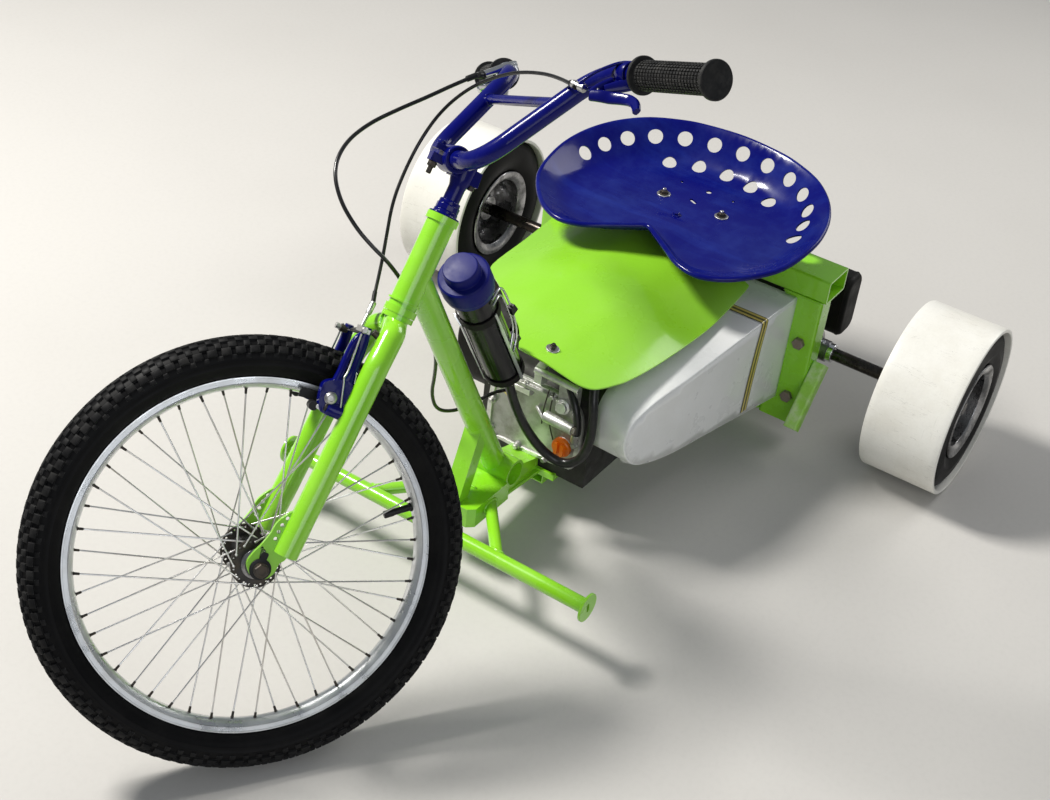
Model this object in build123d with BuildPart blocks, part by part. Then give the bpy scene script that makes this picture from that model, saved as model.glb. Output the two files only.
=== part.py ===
from build123d import *
import os
from math import acos, cos, degrees, radians, sin, sqrt, tan

# Motorised drift trike: a bicycle front end with a 20 inch wheel, a low welded
# frame with a small engine, a tractor seat, and two sleeved rear wheels on one
# live axle.  Millimetres.  +X forward, +Y left, +Z up.  The front wheel is
# turned to the right, as it stands.

# ---------------------------------------------------------------- dimensions
RAKE = 38.28              # steering axis, degrees from vertical
TURN = 41.5               # steering turned right at rest, degrees
AXIS_GROUND_X = 1153.3    # where the steering axis meets the ground
FORK_OFFSET = 40.4        # front wheel centre ahead of the steering axis
TYRE_RING_R = 230.1       # front tyre: centre circle radius
TYRE_TUBE_R = 25.7        # front tyre: section radius
RIM_EDGE_R = 210.0        # front rim: outer edge radius
HEAD_LOW, HEAD_TOP = 597.9, 721.4   # head tube ends, along the steering axis
HEAD_R, STEERER_R = 17.0, 14.3
FIT = 0.05                # radial clearance of running fits
REAR_R = 134.0            # rear sleeve radius and axle height
SLEEVE_W = 119.6          # rear sleeve width
SLEEVE_OUT = 490.3        # rear sleeve outer edge from the middle
AXLE_R = 10.0
BAR_R = 11.1              # handlebar tube radius
DOWN_R = 17.0             # down tube radius
BB_X, BB_Z, BB_R = 541.0, 105.0, 21.0
FOOT_X, FOOT_Z, FOOT_R, FOOT_HALF = 685.0, 88.0, 10.5, 249.6
BEAM_X0, BEAM_X1, BEAM_Z0, BEAM_Z1, BEAM_HALF = 11.5, 75.0, 256.0, 294.0, 254.0
POST_Y0, POST_Y1 = 185.5, 249.0

# ------------------------------------------------------------ steering frame
rake, turn = radians(RAKE), radians(TURN)
up_axis = Vector(-sin(rake), 0, cos(rake))
ahead0 = Vector(cos(rake), 0, sin(rake))
ahead = ahead0 * cos(turn) - Vector(0, 1, 0) * sin(turn)
side = Vector(0, 1, 0) * cos(turn) + ahead0 * sin(turn)
wheel_reach_z = TYRE_RING_R * sqrt(1 - side.Z**2) + TYRE_TUBE_R
HUB_S = (wheel_reach_z - FORK_OFFSET * ahead.Z) / up_axis.Z
hub_x = AXIS_GROUND_X + FORK_OFFSET * ahead.X + HUB_S * up_axis.X
front_x = hub_x + TYRE_RING_R * sqrt(1 - side.X**2) + TYRE_TUBE_R
X0 = (front_x - REAR_R) / 2     # the origin is under the middle of the trike


def at(x, y, z):
    """A point given from the ground under the middle of the rear axle."""
    return Vector(x - X0, y, z)


steer = Plane(origin=at(AXIS_GROUND_X, 0, 0), x_dir=ahead, z_dir=up_axis)


def st(a, w, s):
    """A point of the steering frame: ahead of the axis, to the left, along it."""
    return steer.from_local_coords(Vector(a, w, s))


hub = st(FORK_OFFSET, 0, HUB_S)
wheel_plane = Plane(origin=hub, x_dir=ahead, z_dir=up_axis)   # x radial, y axial
wheel_axis = Axis(hub, side)
rear_plane = Plane(origin=at(0, 0, REAR_R), x_dir=(1, 0, 0), z_dir=(0, 0, 1))
rear_axis = Axis(at(0, 0, REAR_R), (0, 1, 0))
pieces = {}


def rod(p, q, r, bore=0.0):
    """A straight round bar or tube from p to q."""
    with BuildPart() as made:
        with BuildSketch(Plane(origin=p, z_dir=q - p)):
            Circle(r)
            if bore:
                Circle(bore, mode=Mode.SUBTRACT)
        extrude(amount=(q - p).length)
    return made


def bent(points, r, radii, bore=0.0, cut=None):
    """A bent round bar or tube: straight runs joined by tangent arcs, kept on a plane's near side."""
    with BuildPart() as made:
        with BuildLine() as path:
            FilletPolyline(*points, radius=radii)
        with BuildSketch(Plane(origin=points[0], z_dir=points[1] - points[0])):
            Circle(r)
            if bore:
                Circle(bore, mode=Mode.SUBTRACT)
        sweep(path=path.wires()[0])
        if cut:
            split(bisect_by=cut, keep=Keep.TOP)
    return made


def cable_radii(points, name):
    """The largest easy arc at each point of a route, printed for a check."""
    radii = []
    for a, b, c in zip(points, points[1:], points[2:]):
        angle = radians((b - a).get_angle(c - b))
        run = min((b - a).length, (c - b).length)
        radii.append(0.45 * run / tan(angle / 2))
    print(name, "turn radii", [round(v) for v in radii])
    return radii


def report_volume(name, made, r):
    """Compares a cable's volume with its section times its length."""
    print(name, "volume", round(made.part.volume, 1), "length", round(made.part.volume / (3.141592654 * r * r), 1))


# ------------------------------------------------------------------- frame
with BuildPart() as head_tube:
    with BuildSketch(steer.offset(HEAD_LOW)):
        Circle(HEAD_R)
    extrude(amount=HEAD_TOP - HEAD_LOW)
    for start, length in ((HEAD_LOW, 8.5), (HEAD_LOW + 14, 2.5), (HEAD_TOP - 8.5, 8.5)):
        with BuildSketch(steer.offset(start)):
            Circle(HEAD_R + 2.5)
        extrude(amount=length)
    with BuildSketch(steer.offset(HEAD_LOW)):
        Circle(STEERER_R + FIT)
    extrude(amount=HEAD_TOP - HEAD_LOW, mode=Mode.SUBTRACT)
pieces["head_tube"] = head_tube

HEAD_JOIN = at(754.0, 0, 506.0)
BB = at(BB_X, 0, BB_Z)
bb_plane = Plane(origin=BB, x_dir=(1, 0, 0), z_dir=(0, -1, 0))
with BuildPart() as down_tube:
    with BuildSketch(Plane(origin=BB, z_dir=HEAD_JOIN - BB)):
        Circle(DOWN_R)
        Circle(DOWN_R - 2, mode=Mode.SUBTRACT)
    extrude(amount=(HEAD_JOIN - BB).length)
    with BuildSketch(steer.offset(HEAD_LOW - 20)):
        Circle(HEAD_R + 0.05)
    extrude(amount=HEAD_TOP - HEAD_LOW + 40, mode=Mode.SUBTRACT)
    with BuildSketch(bb_plane):
        Circle(BB_R + 0.05)
    extrude(amount=60, both=True, mode=Mode.SUBTRACT)
down_tube.part = down_tube.part if len(down_tube.part.solids()) == 1 else Part([down_tube.part.solids().sort_by(SortBy.VOLUME)[-1]])
pieces["down_tube"] = down_tube

# bottom bracket shell with the block that carries it on the two rails
with BuildPart() as bottom_bracket:
    with BuildSketch(bb_plane):
        Circle(BB_R)
    extrude(amount=34, both=True)
    with BuildSketch(Plane(origin=at(0, 0, 0), x_dir=(1, 0, 0), z_dir=(0, -1, 0))):
        with BuildLine():
            Polyline((463.5, 65.1), (556, 65.1), (559, 92), (BB_X, BB_Z), (516, 100), (480, 88), (463.5, 84), close=True)
        make_face()
    extrude(amount=23.5, both=True)
    with BuildSketch(bb_plane):
        Circle(BB_R - 4)
    extrude(amount=40, both=True, mode=Mode.SUBTRACT)
pieces["bottom_bracket"] = bottom_bracket

# square strut from the foot box up to the front of the down tube
STRUT_LOW, STRUT_TOP = at(638, 0, 92), at(587, 0, 218)
with BuildPart() as front_strut:
    with BuildSketch(Plane(origin=STRUT_LOW, x_dir=(0, 1, 0), z_dir=STRUT_TOP - STRUT_LOW)):
        Rectangle(25, 22)
    extrude(amount=(STRUT_TOP - STRUT_LOW).length)
    with BuildSketch(Plane(origin=BB, z_dir=HEAD_JOIN - BB)):
        Circle(DOWN_R + 0.05)
    extrude(amount=250, mode=Mode.SUBTRACT)
    split(bisect_by=Plane(origin=at(0, 0, 103.05), z_dir=(0, 0, 1)), keep=Keep.TOP)
front_strut.part = Part([front_strut.part.solids().sort_by(SortBy.VOLUME)[-1]])
pieces["front_strut"] = front_strut

BOX_Z0 = 72.0
BOX_PLAN = ((556.05, -37), (636, -37), (645, -28), (645, 28), (636, 37), (556.05, 37))
with BuildPart() as foot_box:
    with BuildSketch(Plane.XY.offset(BOX_Z0)):
        with BuildLine():
            Polyline(*[(x - X0, y) for x, y in BOX_PLAN], close=True)
        make_face()
    extrude(amount=103 - BOX_Z0)
    with BuildSketch(bb_plane):
        Circle(BB_R + 0.05)
    extrude(amount=60, both=True, mode=Mode.SUBTRACT)
    with BuildSketch(Plane(origin=at(0, 0, 0), x_dir=(1, 0, 0), z_dir=(0, -1, 0))):
        with BuildLine():
            Polyline((540, 60), (556.05, 60), (559.05, 92), (550, 106), (540, 106), close=True)
        make_face()
    extrude(amount=60, both=True, mode=Mode.SUBTRACT)
pieces["foot_box"] = foot_box

with BuildPart() as foot_bar:
    with BuildSketch(Plane(origin=at(FOOT_X, -FOOT_HALF, FOOT_Z), z_dir=(0, 1, 0))):
        Circle(FOOT_R)
    extrude(amount=2 * FOOT_HALF)
    with BuildSketch(Plane(origin=at(FOOT_X, -FOOT_HALF, FOOT_Z), z_dir=(0, 1, 0))):
        Circle(FOOT_R - 2)
    extrude(amount=2 * FOOT_HALF, mode=Mode.SUBTRACT)
    for y in (-FOOT_HALF, FOOT_HALF - 3.5):
        with BuildSketch(Plane(origin=at(FOOT_X, y, FOOT_Z), z_dir=(0, 1, 0))):
            Circle(20)
        extrude(amount=3.5)
pieces["foot_bar"] = foot_bar

with BuildPart() as foot_bar_struts:
    for hand in (-1, 1):
        low, high = at(588, hand * 26.5, FOOT_Z), at(FOOT_X, hand * 108, FOOT_Z)
        with BuildSketch(Plane(origin=low, z_dir=high - low)):
            Circle(8.5)
        extrude(amount=(high - low).length)
    with BuildSketch(Plane(origin=at(FOOT_X, -200, FOOT_Z), z_dir=(0, 1, 0))):
        Circle(FOOT_R + 0.05)
    extrude(amount=400, mode=Mode.SUBTRACT)
    with BuildSketch(Plane.XY.offset(60)):
        with BuildLine():
            Polyline(*[(x - X0, y * 1.0015) for x, y in BOX_PLAN], close=True)
        make_face()
    extrude(amount=50, mode=Mode.SUBTRACT)
    split(bisect_by=Plane(origin=at(FOOT_X, 0, 0), z_dir=(-1, 0, 0)), keep=Keep.TOP)
pieces["foot_bar_struts"] = foot_bar_struts

RAIL_Z0, RAIL_Z1 = 35.0, 60.0
with BuildPart() as frame_rails:
    for y in (-19.5, 19.5):
        with BuildSketch(Plane(origin=at(75.05, y, (RAIL_Z0 + RAIL_Z1) / 2), x_dir=(0, 1, 0), z_dir=(1, 0, 0))):
            Rectangle(25, 25)
            Rectangle(21, 21, mode=Mode.SUBTRACT)
        extrude(amount=383)
pieces["frame_rails"] = frame_rails

PLATE_PLAN = (  # x ahead of the axle, y: the tongue carries the bottom bracket
    (215, -70), (463, -70), (463, -30), (556, -23.5), (556, 23.5), (463, 30), (463, 49), (215, 49),
)
with BuildPart() as engine_plate:
    with BuildSketch(Plane.XY.offset(RAIL_Z1 + 0.05)):
        with BuildLine():
            Polyline(*[(x - X0, y) for x, y in PLATE_PLAN], close=True)
        make_face()
    extrude(amount=5)
pieces["engine_plate"] = engine_plate

# engine: crankcase, leaning cylinder and head, with the clutch on its left
ENGINE_Z = 65.1
SHAFT_X, SHAFT_Z = 350.0, 174.0
with BuildPart() as engine_block:
    with BuildSketch(Plane.XY.offset(ENGINE_Z)):
        with Locations(at(360, 10, 0)):
            Rectangle(204, 180)
    extrude(amount=150)
    fillet(engine_block.edges().filter_by(Axis.Y).group_by(Axis.Z)[-1], 22)
    with BuildSketch(Plane(origin=at(0, 10, 0), x_dir=(1, 0, 0), z_dir=(0, -1, 0))):
        with BuildLine():
            Polyline((300, 130), (330, 205), (196, 246), (150, 216), (172, 140), close=True)
        make_face()
    extrude(amount=62, both=True)
    with BuildSketch(Plane(origin=at(SHAFT_X, 99, SHAFT_Z), z_dir=(0, 1, 0))):
        Circle(43)
    extrude(amount=44)
    with BuildSketch(Plane(origin=at(SHAFT_X, 142, SHAFT_Z), z_dir=(0, 1, 0))):
        Circle(17)
    extrude(amount=28)
pieces["engine_block"] = engine_block

with BuildPart() as recoil_starter:
    with BuildSketch(Plane(origin=at(SHAFT_X, -80.05, SHAFT_Z), z_dir=(0, -1, 0))):
        Circle(82)
    extrude(amount=70)
    with BuildSketch(Plane(origin=at(SHAFT_X, -150.05, SHAFT_Z), z_dir=(0, -1, 0))):
        Circle(62)
    extrude(amount=18)
    fillet(recoil_starter.edges().filter_by(GeomType.CIRCLE).group_by(Axis.Y)[0], 6)
pieces["recoil_starter"] = recoil_starter

DIP = at(462.05, 63, 126)
with BuildPart() as oil_cap:
    with BuildSketch(Plane(origin=DIP, z_dir=(1, 0, 0))):
        Circle(9)
    extrude(amount=6)
    with BuildSketch(Plane(origin=DIP + Vector(6, 0, 0), z_dir=(1, 0, 0))):
        Circle(12.5)
    extrude(amount=7)
    with BuildSketch(Plane(origin=DIP + Vector(13, 0, 0), z_dir=(1, 0, 0))):
        Rectangle(20, 5)
    extrude(amount=8)
pieces["oil_cap"] = oil_cap

# chain from the clutch to the axle sprocket, as one closed loop
CHAIN_Y0, CHAIN_W = 158.0, 8.0
CHAIN_REAR_R, CHAIN_FRONT_R = 62.0, 22.0
chain_plane = Plane(origin=at(0, CHAIN_Y0, 0), x_dir=(1, 0, 0), z_dir=(0, -1, 0))
with BuildPart() as drive_chain:
    for grow, mode in ((4.0, Mode.ADD), (-4.0, Mode.SUBTRACT)):
        with BuildSketch(chain_plane):
            with BuildLine():
                CenterArc((0, REAR_R), CHAIN_REAR_R + grow, 0, 360)
                CenterArc((SHAFT_X, SHAFT_Z), CHAIN_FRONT_R + grow, 0, 360)
            make_hull()
        extrude(amount=-CHAIN_W, mode=mode)
pieces["drive_chain"] = drive_chain

# belt and chain guard on the left, open towards the engine and to the rear
GUARD_WALL = 2.5
guard_side = Plane(origin=at(0, 104, 0), x_dir=(1, 0, 0), z_dir=(0, -1, 0))
GUARD_PROFILE = (  # x ahead of the axle, height
    (75.3, 75.0), (75.3, 252.0), (150.0, 250.0), (430.0, 232.0), (462.0, 214.0),
    (464.0, 150.0), (440.0, 140.0),
)
GUARD_INNER = (
    (60.0, 77.6), (60.0, 249.4), (150.0, 247.4), (429.0, 229.4), (459.4, 212.4),
    (461.4, 151.8), (439.4, 142.6),
)
outer_face = Plane(origin=at(75.3, 209, 0), x_dir=(385, -37, 0), z_dir=(-37, -385, 0))
inner_face = Plane(origin=at(75.3, 209 - GUARD_WALL, 0), x_dir=(385, -37, 0), z_dir=(-37, -385, 0))
with BuildPart() as guard_hollow:
    with BuildSketch(guard_side.offset(10)):
        with BuildLine():
            Polyline(*GUARD_INNER, close=True)
        make_face()
    extrude(amount=-140)
    split(bisect_by=inner_face, keep=Keep.TOP)
with BuildPart() as side_cover:
    with BuildSketch(guard_side):
        with BuildLine():
            Polyline(*GUARD_PROFILE, close=True)
        make_face()
    extrude(amount=-120)
    split(bisect_by=outer_face, keep=Keep.TOP)
    add(guard_hollow.part, mode=Mode.SUBTRACT)
pieces["side_cover"] = side_cover

# crowned sheet cover over the engine
HOOD_PLAN = (  # x ahead of the axle, y
    (110, 144), (245, 152), (400, 144), (455, 135), (497, 120), (517, 99), (518, 7),
    (478, -23), (428, -79), (366, -142), (334, -166), (110, -192),
)
HOOD_T = 2.0
with BuildPart() as hood:
    with BuildSketch(Plane(origin=at(100, 0, 0), x_dir=(0, 1, 0), z_dir=(1, 0, 0))):
        with BuildLine():
            ThreePointArc((-205, 262), (-20, 292), (165, 252))
            Line((165, 252), (165, 252 - HOOD_T - 0.1))
            ThreePointArc((165, 252 - HOOD_T - 0.1), (-20, 292 - HOOD_T), (-205, 262 - HOOD_T - 0.1))
            Line((-205, 262 - HOOD_T - 0.1), (-205, 262))
        make_face()
    extrude(amount=430)
    with BuildSketch(Plane.XY.offset(200)):
        with BuildLine():
            Polyline(*[(x - X0, y) for x, y in HOOD_PLAN], close=True)
        make_face()
    extrude(amount=150, mode=Mode.INTERSECT)
pieces["hood"] = hood

# rear frame: hollow cross beam, two posts, low cross beam
with BuildPart() as rear_beam:
    with BuildSketch(Plane(origin=at((BEAM_X0 + BEAM_X1) / 2, -BEAM_HALF, (BEAM_Z0 + BEAM_Z1) / 2), x_dir=(1, 0, 0), z_dir=(0, 1, 0))):
        RectangleRounded(BEAM_X1 - BEAM_X0, BEAM_Z1 - BEAM_Z0, 4)
        Rectangle(BEAM_X1 - BEAM_X0 - 6, BEAM_Z1 - BEAM_Z0 - 6, mode=Mode.SUBTRACT)
    extrude(amount=2 * BEAM_HALF)
pieces["rear_beam"] = rear_beam

with BuildPart() as rear_posts:
    for y in (-(POST_Y0 + POST_Y1) / 2, (POST_Y0 + POST_Y1) / 2):
        with BuildSketch(Plane.XY.offset(32)):
            with Locations(at(56, y, 0)):
                RectangleRounded(38, POST_Y1 - POST_Y0, 5)
                Rectangle(32, POST_Y1 - POST_Y0 - 6, mode=Mode.SUBTRACT)
        extrude(amount=BEAM_Z0 - 0.05 - 32)
pieces["rear_posts"] = rear_posts

with BuildPart() as lower_beam:
    with BuildSketch(Plane(origin=at(56, -POST_Y0 + 0.05, 47.5), x_dir=(1, 0, 0), z_dir=(0, 1, 0))):
        Rectangle(38, 25)
        Rectangle(32, 19, mode=Mode.SUBTRACT)
    extrude(amount=2 * POST_Y0 - 0.1)
pieces["lower_beam"] = lower_beam

# bearing blocks on the backs of the posts
with BuildPart() as bearing_housings:
    for y in (-205 - 25, 205):
        with BuildSketch(Plane(origin=at(0, y, REAR_R), x_dir=(1, 0, 0), z_dir=(0, 1, 0))):
            Circle(27)
            with Locations((18.5, 0)):
                Rectangle(36.9, 44)
            with Locations((30.5, 0)):
                Rectangle(12.9, 124)
            Circle(AXLE_R + FIT, mode=Mode.SUBTRACT)
        extrude(amount=25)
pieces["bearing_housings"] = bearing_housings

with BuildPart() as rear_braces:
    for y in (-260.05, 260.05):
        high, low = at(50, y, 141), at(118, y, 56)
        with BuildSketch(Plane(origin=high, x_dir=(0, 1, 0), z_dir=low - high)):
            RectangleRounded(22, 22, 4)
        extrude(amount=(low - high).length)
pieces["rear_braces"] = rear_braces

# exhaust: pipe from the cylinder over the axle, muffler behind the rear beam
with BuildPart() as muffler:
    with BuildSketch(Plane(origin=at(-105, 44, 163), x_dir=(1, 0, 0), z_dir=(0, 1, 0))):
        RectangleRounded(56, 106, 20)
    extrude(amount=190)
    fillet(muffler.edges().group_by(Axis.Y)[-1], 8)
    add(bent([at(175, 45, 200), at(80, 58, 224), at(-100, 66, 226), at(-105, 70, 190)], 12, [40, 20]).part)
    add(engine_block.part, mode=Mode.SUBTRACT)
pieces["muffler"] = muffler

# ------------------------------------------------------------ seat
SEAT_TILT = 8.25          # rim falls towards the front, degrees
SEAT_X = 77.0
SEAT_T = 3.0
SEAT_RIM = (  # half outline of the rim: start, middle, end of each arc, x from the middle of the seat
    ((-178, 0), (-160, 105), (-111, 178)),
    ((-111, 178), (-41, 215), (49, 218)),
    ((49, 218), (130, 180), (166, 130)),
    ((166, 130), (168, 106), (157, 78)),
    ((157, 78), (132, 41), (110, 0)),
)
SEAT_LEVELS = (  # height at the middle, tilt, size of the outline
    (311.5, 0.0, 0.45), (321.0, 3.0, 0.78), (354.0, SEAT_TILT, 1.0),
)
with BuildPart() as seat_pan:
    for wall, mode in ((0.0, Mode.ADD), (SEAT_T, Mode.SUBTRACT)):
        with BuildPart(mode=Mode.PRIVATE) as dish:
            for height, tilt, size in SEAT_LEVELS:
                lean = Vector(sin(radians(tilt)), 0, cos(radians(tilt)))
                fall = Vector(cos(radians(tilt)), 0, -sin(radians(tilt)))
                lift = wall if height < 350 else 0.3 * wall
                k = size * (1 - wall / 150) if size == 1.0 else size * (1 - wall / 400)
                with BuildSketch(Plane(origin=at(SEAT_X, 0, height + lift), x_dir=fall, z_dir=lean)):
                    with BuildLine():
                        for a, b, c in SEAT_RIM:
                            ThreePointArc(*[(x * k, y * k) for x, y in (a, b, c)])
                        for a, b, c in reversed(SEAT_RIM):
                            ThreePointArc(*[(x * k, -y * k) for x, y in (c, b, a)])
                    make_face()
            loft(ruled=True)
        add(dish.part, mode=mode)
pieces["seat_pan"] = seat_pan

SEAT_BOLTS = ((46.6, 51.0), (46.6, -51.0))
with BuildPart() as seat_bolts:
    for x, y in SEAT_BOLTS:
        with BuildSketch(Plane(origin=at(x, y, BEAM_Z1 + 0.05), z_dir=(0, 0, 1))):
            Circle(13)
        extrude(amount=311.4 - BEAM_Z1)
        with BuildSketch(Plane(origin=at(x, y, 314.55), z_dir=(0, 0, 1))):
            Circle(9)
        extrude(amount=5)
pieces["seat_bolts"] = seat_bolts

# ------------------------------------------------------------ fuel bottle
BOTTLE_R = 25.5
BOTTLE_LOW, BOTTLE_TOP = at(558, 12, 276), at(683, 12, 493)
bottle_dir = (BOTTLE_TOP - BOTTLE_LOW).normalized()
with BuildPart() as fuel_bottle:
    with BuildSketch(Plane(origin=BOTTLE_LOW, x_dir=(0, 1, 0), z_dir=bottle_dir)):
        Circle(BOTTLE_R)
    extrude(amount=200)
    fillet(fuel_bottle.edges().filter_by(GeomType.CIRCLE).sort_by(Axis.Z)[0], 8)
pieces["fuel_bottle"] = fuel_bottle

with BuildPart() as bottle_cap:
    for start, length, r in ((200.05, 34, 33), (234.05, 8, 29), (242.05, 8, 22)):
        with BuildSketch(Plane(origin=BOTTLE_LOW + bottle_dir * start, x_dir=(0, 1, 0), z_dir=bottle_dir)):
            Circle(r)
        extrude(amount=length)
pieces["bottle_cap"] = bottle_cap

# cage: two rings, two side straps, and a bracket from each ring to the down tube
with BuildPart() as bottle_cage:
    for start, reach in ((6, 53), (150, 45)):
        with BuildSketch(Plane(origin=BOTTLE_LOW + bottle_dir * start, x_dir=(0, 1, 0), z_dir=bottle_dir)):
            Circle(BOTTLE_R + 3)
            with Locations((-12, -reach / 2)):
                Rectangle(16, reach)
        extrude(amount=12)
    for w in (-27.3, 27.3):
        with BuildSketch(Plane(origin=BOTTLE_LOW + bottle_dir * 6 + Vector(0, w, 0), x_dir=(0, 1, 0), z_dir=bottle_dir)):
            Rectangle(2.4, 9)
        extrude(amount=156)
    with BuildSketch(Plane(origin=BOTTLE_LOW, x_dir=(0, 1, 0), z_dir=bottle_dir)):
        Circle(BOTTLE_R + 0.6)
    extrude(amount=200, mode=Mode.SUBTRACT)
    with BuildSketch(Plane(origin=BB, z_dir=HEAD_JOIN - BB)):
        Circle(DOWN_R + 0.05)
    extrude(amount=(HEAD_JOIN - BB).length, mode=Mode.SUBTRACT)
pieces["bottle_cage"] = bottle_cage

# ------------------------------------------------------------ rear axle
with BuildPart() as rear_axle:
    with BuildSketch(Plane(origin=at(0, -476, REAR_R), z_dir=(0, 1, 0))):
        Circle(AXLE_R)
    extrude(amount=952)
    for y in (-250, 232):
        with BuildSketch(Plane(origin=at(0, y, REAR_R), z_dir=(0, 1, 0))):
            Circle(17)
        extrude(amount=18)
pieces["rear_axle"] = rear_axle

with BuildPart() as axle_sprocket:
    with BuildSketch(Plane(origin=at(0, CHAIN_Y0 + 1.5, REAR_R), z_dir=(0, 1, 0))):
        Circle(CHAIN_REAR_R - 4.4)
        Circle(AXLE_R, mode=Mode.SUBTRACT)
        with PolarLocations(38, 5):
            Circle(11, mode=Mode.SUBTRACT)
    extrude(amount=5)
    with BuildSketch(Plane(origin=at(0, CHAIN_Y0 - 22, REAR_R), z_dir=(0, 1, 0))):
        Circle(21)
        Circle(AXLE_R, mode=Mode.SUBTRACT)
    extrude(amount=23.6)
pieces["axle_sprocket"] = axle_sprocket

WHEEL_Y = SLEEVE_OUT - SLEEVE_W / 2
RIM_SECTION = (  # radius, distance from the wheel's middle plane, outwards
    (AXLE_R, -30), (22, -30), (22, 8), (56, 14), (56, -54), (75, -56), (75, -52.5), (62, -50),
    (62, 50), (75, 52.5), (75, 56), (56, 54), (56, 20), (22, 16), (22, 34), (AXLE_R, 34),
)
TYRE_SECTION = (
    (62.1, -48), (75, -50.5), (75.1, -51), (96, -57), (112, -56), (128.3, -48),
    (128.3, 48), (112, 56), (96, 57), (75.1, 51), (75, 50.5), (62.1, 48),
)
SLEEVE_SECTION = ((128.4, -59.8), (134.0, -59.8), (134.0, 59.8), (128.4, 59.8))
for name, section in (("rear_rims", RIM_SECTION), ("rear_tyres", TYRE_SECTION), ("rear_sleeves", SLEEVE_SECTION)):
    with BuildPart() as ring:
        for hand in (1, -1):
            with BuildSketch(rear_plane):
                with BuildLine():
                    Polyline(*[(r, hand * (WHEEL_Y + y)) for r, y in section], close=True)
                make_face()
            revolve(axis=rear_axis)
    pieces[name] = ring

# ------------------------------------------------------------ front wheel
FRONT_RIM = (  # radius, distance from the middle plane
    (198, -8), (196, -4), (196, 4), (198, 8), (203, 12), (RIM_EDGE_R, 12.5), (RIM_EDGE_R, 10.5),
    (205, 9.5), (203, 6), (203, -6), (205, -9.5), (RIM_EDGE_R, -10.5), (RIM_EDGE_R, -12.5), (203, -12),
)
with BuildPart() as front_rim:
    with BuildSketch(wheel_plane):
        with BuildLine():
            Polyline(*FRONT_RIM, close=True)
        make_face()
    revolve(axis=wheel_axis)
pieces["front_rim"] = front_rim

with BuildPart() as front_tyre:
    with BuildSketch(wheel_plane):
        with Locations((TYRE_RING_R, 0)):
            Circle(TYRE_TUBE_R)
        with BuildLine():
            Polyline((195, -12.6), (RIM_EDGE_R + 0.1, -12.6), (RIM_EDGE_R + 0.1, -10.4), (205.1, -9.4), (203.1, -6), (203.1, 6), (205.1, 9.4), (RIM_EDGE_R + 0.1, 10.4), (RIM_EDGE_R + 0.1, 12.6), (195, 12.6), close=True)
        make_face(mode=Mode.SUBTRACT)
    revolve(axis=wheel_axis)
pieces["front_tyre"] = front_tyre

HUB_AXLE_R = 5.0
HUB_SECTION = (
    (HUB_AXLE_R + FIT, -47), (11, -47), (14, -38), (18, -33), (29, -32.5), (29, -29.5), (18, -29), (15, -22),
    (15, 22), (18, 29), (29, 29.5), (29, 32.5), (18, 33), (14, 38), (11, 47), (HUB_AXLE_R + FIT, 47),
)
with BuildPart() as front_hub:
    with BuildSketch(wheel_plane):
        with BuildLine():
            Polyline(*HUB_SECTION, close=True)
        make_face()
    revolve(axis=wheel_axis)
pieces["front_hub"] = front_hub

SPOKES, SPOKE_R, HOLE_R, LACE = 48, 1.0, 25.5, 60.0
rim_normal = Plane(origin=hub, x_dir=ahead, z_dir=side)
with BuildPart() as front_spokes:
    for i in range(SPOKES):
        hand = 1 if i % 2 else -1
        lead = 1 if (i // 2) % 2 else -1
        rim_angle = 360 / SPOKES * (i + 0.5)
        hub_angle = rim_angle + lead * LACE
        flange = hand * (31 + 3.2 * (1 if lead > 0 else -1))
        p = rim_normal.from_local_coords(Vector(HOLE_R * cos(radians(hub_angle)), HOLE_R * sin(radians(hub_angle)), flange))
        q = rim_normal.from_local_coords(Vector(195.6 * cos(radians(rim_angle)), 195.6 * sin(radians(rim_angle)), hand * 2.5))
        with BuildSketch(Plane(origin=p, z_dir=q - p)):
            Circle(SPOKE_R)
        extrude(amount=(q - p).length)
pieces["front_spokes"] = front_spokes

# ------------------------------------------------------------ steering
with BuildPart() as fork_steerer:
    with BuildSketch(steer.offset(575)):
        Circle(STEERER_R)
    extrude(amount=HEAD_TOP - 575)
    with BuildSketch(steer.offset(HEAD_LOW - 6.5)):
        Circle(19)
    extrude(amount=6)
pieces["fork_steerer"] = fork_steerer

LEG_R = 14.3
LEG_ROUTE = ((2, 10, 584), (8, 36, 574), (14, 49.5, 535), (17, 53, 420), (21, 56, 298))
with BuildPart() as fork_legs:
    for hand in (1, -1):
        points = [st(a, hand * w, s) for a, w, s in LEG_ROUTE]
        add(bent(points, LEG_R, [16, 30, 300]).part)
    with BuildSketch(steer.offset(560)):
        Circle(STEERER_R + 0.05)
    extrude(amount=60, mode=Mode.SUBTRACT)
    with BuildSketch(steer.offset(HEAD_LOW - 6.55)):
        Circle(40)
    extrude(amount=40, mode=Mode.SUBTRACT)
    split(bisect_by=Plane(origin=st(0, 0, 301), z_dir=up_axis), keep=Keep.TOP)
pieces["fork_legs"] = fork_legs

DROPOUT = (  # a, s in the steering frame
    (36.6, 352), (60, 287), (49, 268), (27, 272), (20, 300.9), (31.9, 300.9),
)
drop_plane = Plane(origin=st(0, 0, 0), x_dir=ahead, z_dir=-1 * side)   # x ahead, y along
with BuildPart() as fork_dropouts:
    for w in (50.0, -55.0):
        with BuildSketch(drop_plane.offset(-w)):
            with BuildLine():
                Polyline(*DROPOUT, close=True)
            make_face()
            with Locations((FORK_OFFSET, HUB_S)):
                Circle(HUB_AXLE_R, mode=Mode.SUBTRACT)
        extrude(amount=-5)
    add(fork_legs.part, mode=Mode.SUBTRACT)
pieces["fork_dropouts"] = fork_dropouts

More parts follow.
